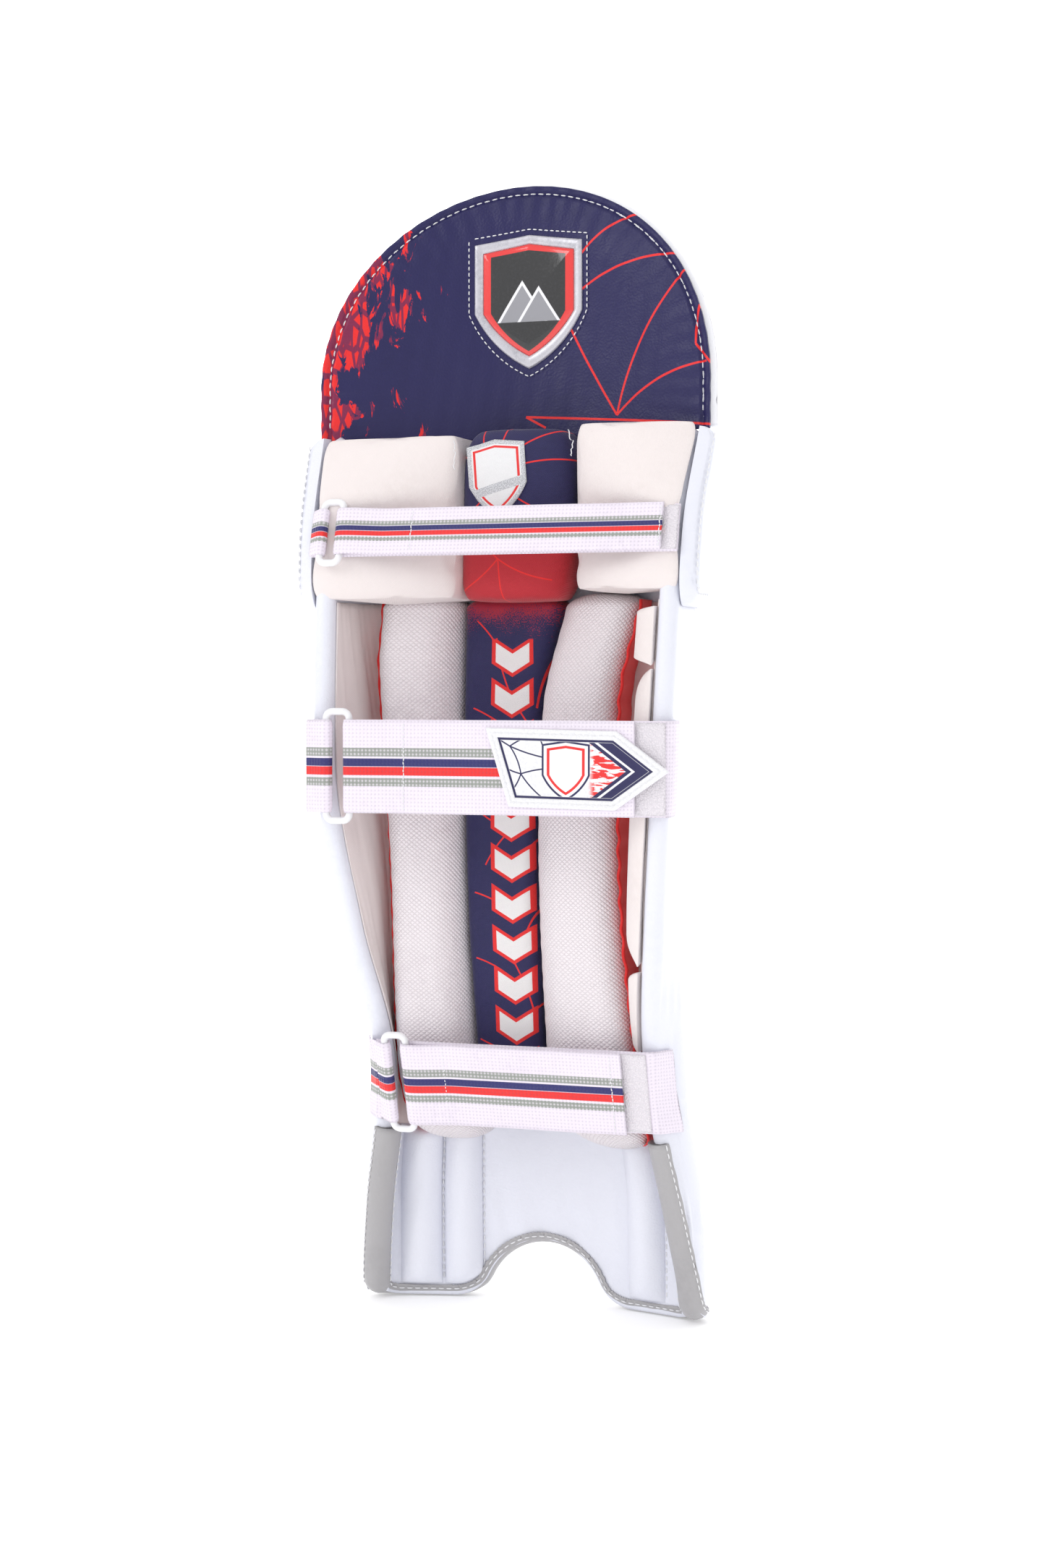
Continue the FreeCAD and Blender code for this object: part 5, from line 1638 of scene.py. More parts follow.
def make_badge_black():
    """Glossy black with a red line at its border and two plain silver peaks."""
    made, tree, shader = start_finish("badge_gloss_black", 0.12, Coat_Weight=1.0, Coat_Roughness=0.04)
    place = badge_place(tree, BADGE_X, BADGE_Z)
    inside = shield_inside(tree, place, BADGE_WIDE, BADGE_TALL)
    parts = put(tree, "ShaderNodeSeparateXYZ", {0: place}).node.outputs
    dust = put(tree, "ShaderNodeTexNoise", {"Vector": place, "Scale": 700.0, "Detail": 3.0})
    base = blend_colours(tree, ramp(tree, dust, 0.45, 0.8), (0.008, 0.008, 0.010, 1), (0.02, 0.02, 0.024, 1))
    colour = blend_colours(tree, band_mask(tree, inside, 0.0, 0.0088), base, RED)
    for offset, size, low in ((-0.0035, 0.0120, -0.0115), (0.0065, 0.0085, -0.0115)):
        aside = sums(tree, "ABSOLUTE", sums(tree, "SUBTRACT", parts[0], offset))
        slope = sums(tree, "MULTIPLY_ADD", aside, 1.55, parts[1])
        peak = sums(tree, "MULTIPLY", ramp(tree, slope, size + 0.0002, size - 0.0002, 0.0, 1.0),
                    ramp(tree, parts[1], low - 0.0002, low + 0.0002))
        edge = sums(tree, "MULTIPLY", peak, ramp(tree, slope, size - 0.0030, size - 0.0026))
        colour = blend_colours(tree, peak, colour, (0.30, 0.30, 0.33, 1))
        colour = blend_colours(tree, edge, colour, (0.85, 0.85, 0.88, 1))
    set_colour(tree, shader, colour)
    set_roughness(tree, shader, dust, 0.07, 0.16)
    set_bump(tree, shader, dust, 0.00002)
    return made


BADGE_SILVER, BADGE_BLACK = make_badge_silver(), make_badge_black()


# %% Badge rim and face
def add_badge():
    rises = ((0.0, -0.5), (0.0, 1.4), (0.5, 2.1), (1.2, 2.4), (3.6, 2.4), (4.6, 2.0), (5.2, 1.2), (5.4, 0.4))
    rim = emboss("badge_silver_rim", [(shield_line(BADGE_WIDE, BADGE_TALL, inset), high)
                                      for inset, high in rises], on_badge, BADGE_SILVER, "top_flap")
    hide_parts("badge_rim")
    border = shield_line(BADGE_WIDE, BADGE_TALL, 5.2)
    shares = np.cos(np.linspace(0.0, math.pi / 2, 22))
    dome = [(border, 0.4), (border, 1.2)] + [(border * share, 1.3 + 2.6 * math.sqrt(1 - share ** 2))
                                            for share in shares[:-1]]
    face = emboss("badge_domed_face", dome, on_badge, BADGE_BLACK, "top_flap")
    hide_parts("badge_face")
    line = shield_line(BADGE_WIDE, BADGE_TALL, -3.2)
    line = np.concatenate([line, line[:1]])
    path = on_badge(line[:, 0], line[:, 1], np.full(len(line), 1.7))
    add_stitches("badge_stitches", path, (0.0, -1.0, 0.0), "top_flap", long=2.4, gap=1.1, thick=0.36)


add_badge()
print("badge made")

# %% [markdown]
# ## Knee patch
# A printed shield is sewn on the knee centre pad, tilted, with a silver edge, a red line and a plain
# silver sash. It is a thin grid of points that Shrinkwrap lays on the pad after the simulation.

# %% Knee patch
PATCH_WIDE, PATCH_TALL, PATCH_X, PATCH_Z, PATCH_TILT = 35.0, 43.0, -4.5, 481.0, math.radians(4)
SASH_TILT = math.radians(11)
PATCH_DROP = 3.0


def make_patch_print():
    made, tree, shader = start_finish("knee_patch_print", 0.6, Sheen_Weight=0.15)
    place = badge_place(tree, PATCH_X, PATCH_Z, PATCH_TILT)
    inside = shield_inside(tree, place, PATCH_WIDE, PATCH_TALL)
    weave = use(tree, WEAVE, Place=front_place(tree), Across=0.0009, Along=0.0009)
    # Painted glints: the silver print is grey, and fine lighter specks in its colour stand in for the
    # sparkle of its flakes; the same specks vary the roughness.
    glint_specks = put(tree, "ShaderNodeTexNoise", {"Vector": place, "Scale": 1600.0, "Detail": 2.0})
    silver = blend_colours(tree, ramp(tree, glint_specks, 0.4, 0.6), (0.42, 0.43, 0.46, 1), (0.7, 0.71, 0.74, 1))
    # Painted shade: the white cloth is darker in the low places of its weave.
    white = blend_colours(tree, weave, (0.75, 0.75, 0.77, 1), (0.84, 0.84, 0.85, 1))
    colour = blend_colours(tree, band_mask(tree, inside, -0.002, 0.0022), white, silver)
    colour = blend_colours(tree, band_mask(tree, inside, 0.0030, 0.0043), colour, RED)
    turned = put(tree, "ShaderNodeMapping", {"Vector": place, "Rotation": (0.0, 0.0, -SASH_TILT)})
    sash = put(tree, "ShaderNodeSeparateXYZ", {0: turned}, out=1)
    colour = blend_colours(tree, band_mask(tree, sash, -0.0075, -0.0025), colour, silver)
    set_colour(tree, shader, colour)
    set_roughness(tree, shader, glint_specks, 0.5, 0.7)
    set_bump(tree, shader, weave, 0.00012)
    return made


def add_knee_patch(ground):
    """Concentric shield rings laid on the cushion, then thickened outwards.

    The patch is stiffer than the cushion, so it bridges where the cushion falls away at its edge.
    """
    shares = np.linspace(1.0, 0.0, 16)[:, None, None]
    line = shield_line(PATCH_WIDE, PATCH_TALL, 0.0)[None] * shares
    turn = np.array([[math.cos(PATCH_TILT), -math.sin(PATCH_TILT)],
                     [math.sin(PATCH_TILT), math.cos(PATCH_TILT)]])
    flat = line @ turn.T
    points = np.stack([flat[..., 0] + PATCH_X, np.full(flat.shape[:2], -70.0), flat[..., 1] + PATCH_Z],
                      axis=-1)
    quads = grid_quads(16, line.shape[1], wrap=True)
    piece = add_mesh("knee_shield_patch", points.reshape(-1, 3), quads, np.zeros((len(quads), 4, 2)),
                     make_patch_print())
    normals = np.empty(len(piece.data.polygons) * 3)
    piece.data.polygons.foreach_get("normal", normals)
    if normals[1::3].mean() > 0:
        piece.data.flip_normals()
    lay = piece.modifiers.new("lay", "SHRINKWRAP")
    lay.target = ground
    lay.wrap_method = "PROJECT"
    lay.use_project_y = True
    lay.use_positive_direction = True
    lay.use_negative_direction = False
    lay.wrap_mode = "ABOVE_SURFACE"
    lay.offset = 0.3 * MM
    bake_modifiers(piece)
    points = mesh_points(piece.data)
    limit = np.median(points[:, 1]) + PATCH_DROP * MM
    missed = points[:, 1] < -69 * MM
    points[:, 1] = np.where(missed, limit, np.minimum(points[:, 1], limit))
    piece.data.vertices.foreach_set("co", points.reshape(-1))
    thick = piece.modifiers.new("thick", "SOLIDIFY")
    thick.thickness = 0.7 * MM
    thick.offset = 1.0
    bake_modifiers(piece)
    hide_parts("knee_patch")
    points = mesh_points(piece.data) / MM
    print("knee_shield_patch lies at y %.1f to %.1f mm" % (points[:, 1].min(), points[:, 1].max()))


add_knee_patch(bpy.data.objects["knee_centre_cloth"])

# %% [markdown]
# ## Straps
# Each strap is one length of webbing. It is sewn to the right wall, runs across the leg side, passes
# round the ring's right bar and comes back over itself, where hook tape holds it to loop tape. A tab
# of the same webbing holds the ring's left bar. Its path is a line seen from above, and a flat band
# is carried along it; its UV holds metres, so that stripes and weave follow every turn.

# %% Strap measures
WEB, RING_THICK, RING_CLEAR, RING_MARGIN = 1.6, 4.0, 0.4, 2.5
LOOP_THICK, HOOK_THICK, TAPE_GAP, FREE_RAMP = 0.8, 1.0, 0.1, 25.0
BAR_DEEP = -4.0
TURN = RING_THICK / 2 + RING_CLEAR + WEB / 2
STRAPS = {
    "knee": dict(width=27.0, bar=7.0, pitch=12.0, tip=99.0, hook=50.0, lean=-16.0, seat=0.6,
                 height=450.0, box=(-47.0, 97.0), over=0.0),
    "calf": dict(width=52.0, bar=13.0, pitch=14.0, tip=88.0, hook=60.0, lean=0.0, seat=2.6,
                 height=320.0, box=(-46.0, 101.0), over=16.0),
    "ankle": dict(width=50.0, bar=7.0, pitch=13.0, tip=67.0, hook=60.0, lean=16.0, seat=0.8,
                  height=137.0, box=(-40.0, 60.0), over=16.0),
}
STRIPES = {
    "knee": ((4.4, 1.25, "grey"), (1.45, 1.4, "navy"), (-1.55, 1.4, "red"), (-4.8, 1.25, "grey")),
    "calf": ((8.0, 2.4, "grey"), (2.3, 2.2, "navy"), (-2.5, 2.35, "red"), (-8.6, 2.3, "grey")),
    "ankle": ((7.7, 2.3, "grey"), (2.2, 2.1, "navy"), (-2.4, 2.25, "red"), (-8.2, 2.2, "grey")),
}
DYES = {"grey": (0.34, 0.36, 0.33, 1), "navy": (0.028, 0.028, 0.15, 1), "red": (0.82, 0.03, 0.03, 1)}


# %% Webbing finish
def make_webbing(name, stripes):
    """White woven band, striped along its length; its yarns cross in small slanting lozenges, with painted
    shade in the low places between them.
    """
    made, tree, shader = start_finish(name + "_webbing", 0.75, Sheen_Weight=0.3, Sheen_Roughness=0.35)
    place = surface_place(tree)
    across = put(tree, "ShaderNodeSeparateXYZ", {0: place})
    turned = put(tree, "ShaderNodeMapping", {"Vector": place, "Rotation": (0.0, 0.0, math.radians(45))})
    weave = use(tree, WEAVE, Place=turned, Across=0.0030, Along=0.0030)
    colour = blend_colours(tree, use(tree, WEAR, Place=object_place(tree), Size=0.03),
                           (0.86, 0.79, 0.89, 1), (0.80, 0.73, 0.83, 1))
    for middle, half, dye in stripes:
        mask = band_mask(tree, across, (middle - half) * MM, (middle + half) * MM, 0.0002)
        if dye == "grey":
            mask = sums(tree, "MULTIPLY", mask, ramp(tree, weave, 0.75, 1.0, 1.0, 0.45))
        colour = blend_colours(tree, mask, colour, DYES[dye])
    # Painted shade: the low places of the weave are darkened towards a dark grey.
    shade = ramp(tree, weave, 0.0, 0.7, 0.26, 0.0)
    set_colour(tree, shader, blend_colours(tree, shade, colour, (0.16, 0.15, 0.19, 1)))
    set_roughness(tree, shader, weave, 0.85, 0.65)
    set_bump(tree, shader, weave, 0.00035)
    return made


def make_pile(name, base, dark):
    """Loop or hook tape: a dense speckled pile."""
    made, tree, shader = start_finish(name, 0.95, Sheen_Weight=0.5, Sheen_Roughness=0.5)
    loops = put(tree, "ShaderNodeTexVoronoi", {"Vector": object_place(tree), "Scale": 950.0})
    set_colour(tree, shader, blend_colours(tree, ramp(tree, loops, 0.1, 0.6), base, dark))
    set_roughness(tree, shader, loops, 0.9, 1.0)
    set_bump(tree, shader, loops, 0.0005)
    return made


def make_ring_plastic():
    """Moulded nylon: pale, faintly cloudy and slightly uneven in its shine."""
    made, tree, shader = start_finish("ring_white_plastic", 0.35, Coat_Weight=0.1)
    place = object_place(tree)
    flow = put(tree, "ShaderNodeTexNoise", {"Vector": place, "Scale": 160.0, "Detail": 4.0})
    set_colour(tree, shader, tinted(tree, place, (0.86, 0.86, 0.88, 1), (0.72, 0.72, 0.74, 1), 0.02))
    set_roughness(tree, shader, flow, 0.28, 0.45)
    set_bump(tree, shader, flow, 0.00008)
    return made


WEBBING = {row: make_webbing(row, STRIPES[row]) for row in STRAPS}
PLAIN_WEBBING = make_webbing("plain", ())
LOOP_TAPE = make_pile("loop_tape_pile", (0.86, 0.81, 0.86, 1), (0.74, 0.70, 0.75, 1))
HOOK_TAPE = make_pile("hook_tape_pile", (0.55, 0.55, 0.57, 1), (0.30, 0.30, 0.32, 1))
RING_PLASTIC = make_ring_plastic()


# %% Strap frame
def strap_axes(row):
    """The strap's origin and its own depth and up axes, leaning with the shell's rear edge."""
    strap = STRAPS[row]
    lean = math.radians(strap["lean"])
    origin = np.array([0.0, float(section_at(strap["height"])["edge_y"]) - strap["seat"],
                       strap["height"]])
    depth = np.array([0.0, math.cos(lean), math.sin(lean)])
    up = np.array([0.0, -math.sin(lean), math.cos(lean)])
    return origin, depth, up


def in_strap(row, along, deep, high):
    """Points from places along, depth and height in the strap's own axes."""
    origin, depth, up = strap_axes(row)
    level = np.array([1.0, 0.0, 0.0])
    return (origin + np.asarray(along)[..., None] * level + np.asarray(deep)[..., None] * depth
            + np.asarray(high)[..., None] * up)


def ring_bars(row):
    """The places along of the ring's left and right bars, and of the wall's rear edge."""
    edge = float(section_at(STRAPS[row]["height"])["edge_x"])
    left = -edge + STRAPS[row]["bar"]
    return left, left + STRAPS[row]["pitch"], edge


def even_path(corners, step=1.2):
    """A line through corners as evenly spaced points, with its turns eased by a short average."""
    corners = np.asarray(corners, dtype=float)
    travelled = np.concatenate([[0], np.cumsum(np.linalg.norm(np.diff(corners, axis=0), axis=1))])
    at = np.linspace(0, travelled[-1], max(4, int(travelled[-1] / step)))
    line = np.stack([np.interp(at, travelled, corners[:, axis]) for axis in range(2)], axis=-1)
    for _ in range(4):
        line = np.concatenate([line[:1], 0.5 * line[1:-1] + 0.25 * (line[:-2] + line[2:]), line[-1:]])
    return line


def bend_round(centre, radius, first, last, count=24):
    """Points of an arc from one angle to another, in degrees."""
    turn = np.radians(np.linspace(first, last, count))
    return [(centre[0] + radius * math.cos(angle), centre[1] + radius * math.sin(angle)) for angle in turn]


# %% A band along a line
def band_outline(width, thick):
    """A band's outline once round: places across, faces of +1 and -1, and thin rounded selvedges."""
    spread = np.concatenate([np.linspace(-0.5, 0.5, 19), np.linspace(0.5, -0.5, 19)]) * width
    near = np.clip((np.abs(spread) - width / 2 + thick / 2) / (thick / 2), 0, 1)
    face = np.concatenate([np.ones(19), -np.ones(19)]) * np.maximum(np.sqrt(1 - near ** 2), 0.3)
    return spread, face * thick / 2


def band_rings(row, corners, width, thick, seed=1):
    """Rings of a flat band carried along a line; a slow wave lifts one selvedge and then the other."""
    line = even_path(corners)
    ahead = np.gradient(line, axis=0)
    ahead /= np.linalg.norm(ahead, axis=1, keepdims=True)
    square = np.stack([-ahead[:, 1], ahead[:, 0]], axis=-1)
    spread, face = band_outline(width, thick)
    wave = 0.25 * soft_noise(seed, np.arange(len(line)) / 13)[:, None] * (2 * spread / width)[None]
    lift = face[None] + wave
    rings = in_strap(row, line[:, :1] + square[:, :1] * lift, line[:, 1:] + square[:, 1:] * lift,
                     spread[None] + 0 * lift)
    length = float(np.linalg.norm(np.diff(line, axis=0), axis=1).sum())
    return rings, spread, length


def root_rings(row, side, over, thick):
    """Rings where a strap folds over the wall's rear edge and lies on its outer face."""
    origin, _, up = strap_axes(row)
    spread, face = band_outline(STRAPS[row]["width"], thick)
    height = origin[2] + spread * up[2]
    behind = np.linspace(over, 1.5, 10)[:, None]
    point, _ = shell_point(side * wall_run(behind, height[None]), height[None] + 0 * behind,
                           -1.7 - face[None] + 0 * behind)
    return point


def cross_stitches(name, row, along, deep, body, span=None):
    """A row of cross stitches over the webbing's width: threads slanting one way and then back."""
    half = (span or STRAPS[row]["width"]) / 2 - 1.5
    count = int(2 * half / 2.1)
    high = np.linspace(-half, half, count)
    zigzag = along + 1.1 * (np.arange(count) % 2)
    path = in_strap(row, zigzag, np.full(count, deep), high)
    add_stitches(name, path, -strap_axes(row)[1], body, long=2.0, gap=0.35, thick=0.36)


# %% Webbing, tapes and rings
def add_strap(row):
    """The anchored run, the free run round the ring's right bar, the tab and both tapes."""
    strap = STRAPS[row]
    width = strap["width"]
    left, right, edge = ring_bars(row)
    ring_body, end_body = row + "_ring_body", row + "_strap_end"

    # The anchored run: from the wall's outer face to under the ring's right bar.
    run, spread, length = band_rings(row, [(edge - 0.5, -0.8), (right, -0.8)], width, WEB, 3)
    if strap["over"]:
        root = root_rings(row, 1.0, strap["over"], WEB)
        run = np.concatenate([root, run])
        length += strap["over"] + 3
    piece = add_tube(row + "_web_anchored", run, PLAIN_WEBBING, None, around=spread)
    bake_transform(piece)
    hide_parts(row + "_strap_anchor")

    # The free run: from its tip, over the tapes and once round the right bar.
    over = -(2 * WEB + LOOP_THICK + HOOK_THICK + 2 * TAPE_GAP) + WEB / 2 + 0.1
    corners = [(strap["tip"], over), (right + FREE_RAMP, over), (right + 6, BAR_DEEP - TURN + 0.3),
               *bend_round((right, BAR_DEEP), TURN, 270, 90), (right + 0.6, BAR_DEEP + TURN)]
    run, spread, length = band_rings(row, corners, width, WEB, 4)
    piece = add_tube(row + "_web_free", run, WEBBING[row], None, around=spread)
    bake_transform(piece)
    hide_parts(row + "_strap_free")

    # The tab: over the left wall, round the left bar and back.
    corners = [(-edge + 0.6, -0.8 - WEB), *bend_round((left, BAR_DEEP), TURN, 270, 450),
               (-edge + 0.8, -0.8)]
    run, spread, length = band_rings(row, corners, width, WEB, 5)
    if strap["over"]:
        root = root_rings(row, -1.0, strap["over"], WEB)
        run = np.concatenate([root, run])
        length += strap["over"] + 3
    piece = add_tube(row + "_web_tab", run, WEBBING[row], PAD, around=spread)
    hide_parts(row + "_tab")

    for label, corners, thick, material, body in (
            ("loop_tape", [(edge - 1, -WEB - LOOP_THICK / 2), (0.0, -WEB - LOOP_THICK / 2)],
             LOOP_THICK, LOOP_TAPE, PAD),
            ("hook_patch", [(strap["tip"] - 1.5, -3.0), (strap["tip"] - strap["hook"], -3.0)],
             HOOK_THICK, HOOK_TAPE, end_body)):
        run, spread, length = band_rings(row, corners, width - 2.0, thick, 6)
        piece = add_tube("%s_%s_pile" % (row, label), run, material, body, around=spread)
        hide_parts("%s_%s" % (row, label))

    box_left, box_right = strap["box"]
    cross_stitches(row + "_box_stitches", row, box_left, over - WEB / 2 - 0.05, end_body)
    cross_stitches(row + "_root_stitches", row, min(box_right, edge - 2), -WEB - 0.05
                   if box_right > strap["tip"] else over - WEB / 2 - 0.05,
                   PAD if box_right > strap["tip"] else end_body)


def add_ring(row):
    """A rectangle of round bar with bent corners: a circle carried round the outline."""
    left, right, _ = ring_bars(row)
    half = STRAPS[row]["width"] / 2 + RING_MARGIN + RING_THICK / 2
    bend = 4.0
    outline = []
    for middle, first in (((right - bend, half - bend), 90), ((left + bend, half - bend), 180),
                          ((left + bend, -half + bend), 270), ((right - bend, -half + bend), 360)):
        outline += bend_round(middle, bend, first - 90, first, 9)
    outline = np.array([*outline, outline[0]])
    travelled = np.concatenate([[0], np.cumsum(np.linalg.norm(np.diff(outline, axis=0), axis=1))])
    at = np.linspace(0, travelled[-1], 181)[:-1]
    line = np.stack([np.interp(at, travelled, outline[:, axis]) for axis in range(2)], axis=-1)
    ahead = np.roll(line, -1, axis=0) - np.roll(line, 1, axis=0)
    ahead /= np.linalg.norm(ahead, axis=1, keepdims=True)
    square = np.stack([ahead[:, 1], -ahead[:, 0]], axis=-1)
    turn = np.linspace(0, 2 * math.pi, 19)[:-1]
    away = RING_THICK / 2 * np.cos(turn)[None]
    rings = in_strap(row, line[:, :1] + square[:, :1] * away,
                     BAR_DEEP + RING_THICK / 2 * np.sin(turn)[None] + 0 * away + 0 * line[:, :1],
                     line[:, 1:] + square[:, 1:] * away)
    rings = np.concatenate([rings, rings[:1]])
    piece = add_tube(row + "_ring_moulded", rings, RING_PLASTIC, row + "_ring_body", ends=False)
    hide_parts(row + "_ring")


for strap_row in STRAPS:
    add_strap(strap_row)
    add_ring(strap_row)
print("straps:", ", ".join(STRAPS))

# %% [markdown]
# ## Tip patch
# The calf strap ends in a moulded rubber patch, pointed like an arrow. A raised white border holds a
# row of stitches, and the sunk field inside is printed: the net of lines, a plain shield, torn red
# strokes and a navy nose with a white chevron.

# %% Tip patch print
# Fixed places in millimetres: they are not worked out from the frame's patch.
TIP_CORNERS = ((3.5, 342.0), (16.8, 298.9), (77.6, 297.7), (107.7, 318.8), (78.3, 340.5))
TIP_DEEP, TIP_FRONT = 2.2, 5.2
TIP_LINES = (
    (17.6, 332, 30, 338, 0.5), (17.6, 332, 44, 325, -1), (17.6, 332, 24, 317, 1), (24, 317, 16, 305, 1),
    (24, 317, 46, 320, 1), (24, 317, 38, 303, -1), (17.6, 332, 9, 337, 0), (24, 317, 12, 322, 0.6),
    (34, 338, 40, 318, 1), (52, 338, 64, 334, 1),
)


def side_distance(tree, place, corners):
    """Distance inside a convex outline: the least distance to the lines through its sides."""
    corners = np.asarray(corners, dtype=float) * MM
    least = None
    for start, end in zip(corners, np.roll(corners, -1, axis=0)):
        run = (end - start) / np.linalg.norm(end - start)
        inward = np.array([-run[1], run[0]])
        dot = put(tree, "ShaderNodeVectorMath", {0: place, 1: (float(inward[0]), float(inward[1]), 0.0)},
                  out=1, operation="DOT_PRODUCT")
        inside = sums(tree, "SUBTRACT", dot, float(inward @ start))
        least = inside if least is None else sums(tree, "MINIMUM", least, inside)
    return least


def make_tip_print():
    made, tree, shader = start_finish("tip_patch_rubber", 0.5, Coat_Weight=0.1, Coat_Roughness=0.5)
    place, across, height = leg_place(tree)
    inside = side_distance(tree, place, TIP_CORNERS)
    fine = put(tree, "ShaderNodeTexNoise", {"Vector": object_place(tree), "Scale": 900.0, "Detail": 3.0})
    white = blend_colours(tree, ramp(tree, fine, 0.4, 0.7), (0.84, 0.84, 0.86, 1), (0.76, 0.76, 0.79, 1))
    field = ramp(tree, inside, 0.0064, 0.0067)
    frame_line = band_mask(tree, inside, 0.0051, 0.0064)
    drawn = blend_colours(tree, line_mask(tree, place, TIP_LINES, 0.8), white, NAVY)
    stroke = put(tree, "ShaderNodeTexNoise", {
        "Vector": put(tree, "ShaderNodeMapping", {"Vector": place, "Scale": (0.5, 2.2, 1.0)}),
        "Scale": 190.0, "Detail": 5.0, "Distortion": 1.2})
    torn = sums(tree, "MULTIPLY", ramp(tree, stroke, 0.50, 0.53),
                band_mask(tree, across, 0.064, 0.085, 0.002))
    drawn = blend_colours(tree, torn, drawn, RED)
    shield = put(tree, "ShaderNodeVectorMath", {0: place, 1: (0.0497, 0.3190, 0.0)}, operation="SUBTRACT")
    shape = shield_inside(tree, shield, 25.0, 30.0)
    drawn = blend_colours(tree, ramp(tree, shape, -0.0013, -0.0011), drawn, NAVY)
    drawn = blend_colours(tree, ramp(tree, shape, -0.0002, 0.0), drawn, (0.84, 0.84, 0.86, 1))
    drawn = blend_colours(tree, ramp(tree, shape, 0.0014, 0.0016), drawn, RED)
    drawn = blend_colours(tree, ramp(tree, shape, 0.0028, 0.0030), drawn, (0.84, 0.84, 0.86, 1))
    aside = sums(tree, "ABSOLUTE", sums(tree, "SUBTRACT", height, 0.3188))
    nose = sums(tree, "MULTIPLY_ADD", aside, 1.355, across)
    drawn = blend_colours(tree, ramp(tree, nose, 0.0835, 0.0838), drawn, NAVY)
    drawn = blend_colours(tree, band_mask(tree, nose, 0.0868, 0.0888), drawn, (0.84, 0.84, 0.86, 1))
    drawn = blend_colours(tree, frame_line, blend_colours(tree, field, white, drawn), NAVY)
    set_colour(tree, shader, drawn)
    set_roughness(tree, shader, fine, 0.42, 0.6)
    set_bump(tree, shader, fine, 0.0001)
    return made


# %% Tip patch
def inset_outline(corners, inset, count=22):
    """A convex outline moved in by an inset along each corner's mitre, its sides evenly divided."""
    corners = np.asarray(corners, dtype=float)
    run = np.roll(corners, -1, axis=0) - corners
    run /= np.linalg.norm(run, axis=1, keepdims=True)
    inward = np.stack([-run[:, 1], run[:, 0]], axis=-1)
    before = np.roll(inward, 1, axis=0)
    mitre = (before + inward) / (1 + (before * inward).sum(axis=1, keepdims=True))
    moved = corners + inset * mitre
    after = np.roll(moved, -1, axis=0)
    share = (0.5 - 0.5 * np.cos(math.pi * np.arange(count) / count))[None, :, None]
    line = (moved[:, None] + (after - moved)[:, None] * share).reshape(-1, 2)
    for _ in range(3):
        line = 0.5 * line + 0.25 * (np.roll(line, 1, axis=0) + np.roll(line, -1, axis=0))
    return line


def on_tip(x, z, height):
    """The patch stands on the calf strap, its height towards the leg."""
    base = strap_axes("calf")[0][1] - TIP_FRONT
    return np.stack([x, base - height, z], axis=-1)


def add_tip_patch():
    rises = ((0.5, 0.0), (0.0, 0.5), (0.0, 1.6), (0.3, 2.05), (0.9, TIP_DEEP), (2.2, TIP_DEEP), (2.6, 1.9),
             (3.0, TIP_DEEP), (4.2, TIP_DEEP), (4.8, 2.0), (5.2, 1.4), (8.0, 1.4), (13.0, 1.45), (18.0, 1.5))
    piece = emboss("calf_tip_badge", [(inset_outline(TIP_CORNERS, inset), high) for inset, high in rises],
                   on_tip, make_tip_print(), "calf_strap_end")
    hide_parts("calf_tip_patch")
    line = inset_outline(TIP_CORNERS, 2.6, 40)
    line = np.concatenate([line, line[:1]])
    add_stitches("calf_tip_stitches", on_tip(line[:, 0], line[:, 1], np.full(len(line), 2.1)),
                 (0.0, -1.0, 0.0), "calf_strap_end", long=2.6, gap=1.2, thick=0.36)


add_tip_patch()

# %% [markdown]
# ## Small things
# A few thread ends show where the pillows are tied at their upper inner corners. The canes keep the
# frame's own shape and only take a finish.

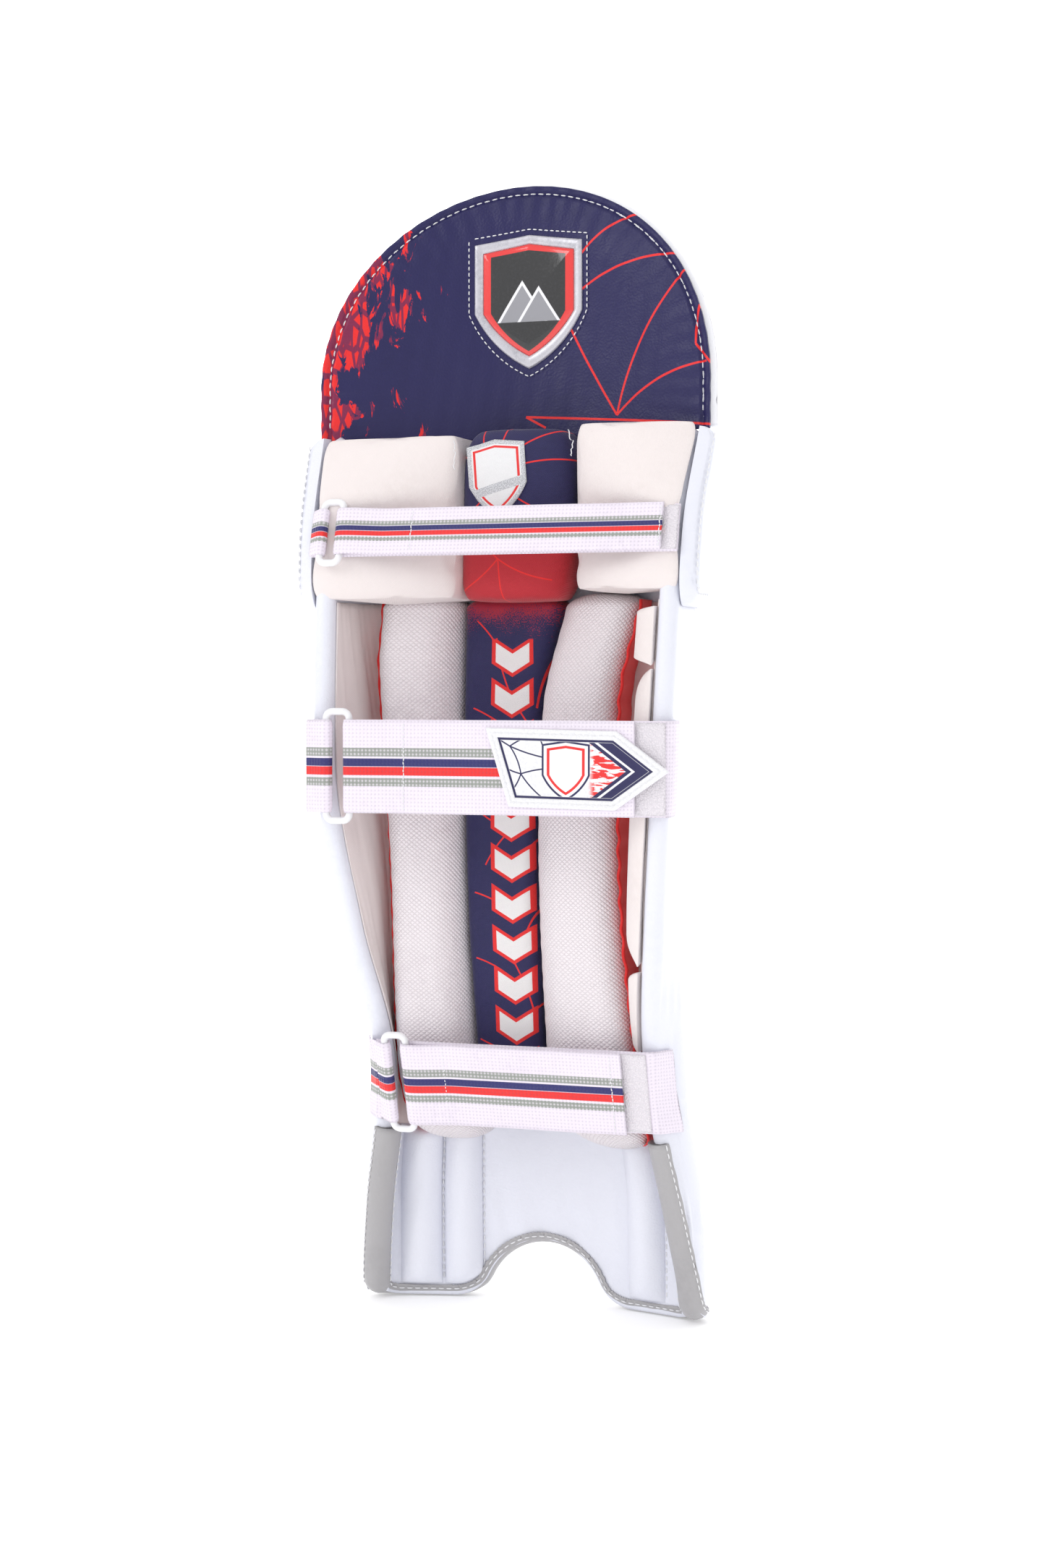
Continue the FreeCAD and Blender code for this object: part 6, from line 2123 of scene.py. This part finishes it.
# %% Thread ends
def add_thread_ends():
    """Loose ends of thread: each starts at a corner and wanders down on a random walk."""
    random = np.random.default_rng(12)
    for number, (x, y, z) in enumerate(((-31.0, -26.0, 503.0), (37.0, -26.0, 507.0))):
        steps = np.cumsum(random.normal(0, 0.5, (14, 3)) + np.array([0.2, -0.5, -1.1]), axis=0)
        path = np.array([x, y, z]) + np.concatenate([np.zeros((1, 3)), steps])
        turn = np.linspace(0, 2 * math.pi, 7)[:-1]
        circle = np.stack([np.cos(turn), np.sin(turn), 0 * turn], axis=-1) * 0.3
        add_tube("thread_end_%d" % (number + 1), path[:, None] + circle[None], THREAD)


add_thread_ends()
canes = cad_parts["cane_rods"]
canes.data.materials.clear()
canes.data.materials.append(CANE)

# %% [markdown]
# ## The floor, the sizes and the end

# %% Floor
FLOOR_GLOW = 0.22


def add_floor():
    made, tree, shader = start_finish("pale_floor", 0.9)
    shade = put(tree, "ShaderNodeTexNoise", {"Vector": object_place(tree), "Scale": 3.0})
    set_colour(tree, shader, blend_colours(tree, ramp(tree, shade, 0.3, 0.7), (0.92, 0.92, 0.93, 1),
                                           (0.95, 0.95, 0.95, 1)))
    shader.inputs["Emission Color"].default_value = (1.0, 1.0, 1.0, 1.0)
    shader.inputs["Emission Strength"].default_value = FLOOR_GLOW
    turn = np.linspace(0, 2 * math.pi, 97)[:-1]
    reach = np.array([0.0, 0.5, 2.0, 8.0])[:, None]
    rings = np.stack([reach * np.cos(turn), reach * np.sin(turn), 0 * reach - 0.0003 + 0 * turn], axis=-1)
    quads = grid_quads(4, 96, wrap=True)
    floor = add_mesh("floor", rings.reshape(-1, 3) / MM, quads, np.zeros((len(quads), 4, 2)), made, None)


def add_backdrop():
    """A white glowing board four metres behind the pad, so that what is behind it reads as white."""
    made, tree, shader = start_finish("white_backdrop", 1.0)
    shade = put(tree, "ShaderNodeTexNoise", {"Vector": object_place(tree), "Scale": 2.0})
    set_colour(tree, shader, blend_colours(tree, shade, (0.90, 0.90, 0.90, 1), (0.95, 0.95, 0.95, 1)))
    shader.inputs["Emission Color"].default_value = (1.0, 1.0, 1.0, 1.0)
    shader.inputs["Emission Strength"].default_value = 1.0
    points = np.array([(-7.0, 4.0, -0.5), (5.0, 4.0, -0.5), (5.0, 4.0, 5.0), (-7.0, 4.0, 5.0)]) / MM
    board = add_mesh("backdrop", points, [[0, 1, 2, 3]], np.zeros((1, 4, 2)), made, None)


add_floor()
add_backdrop()
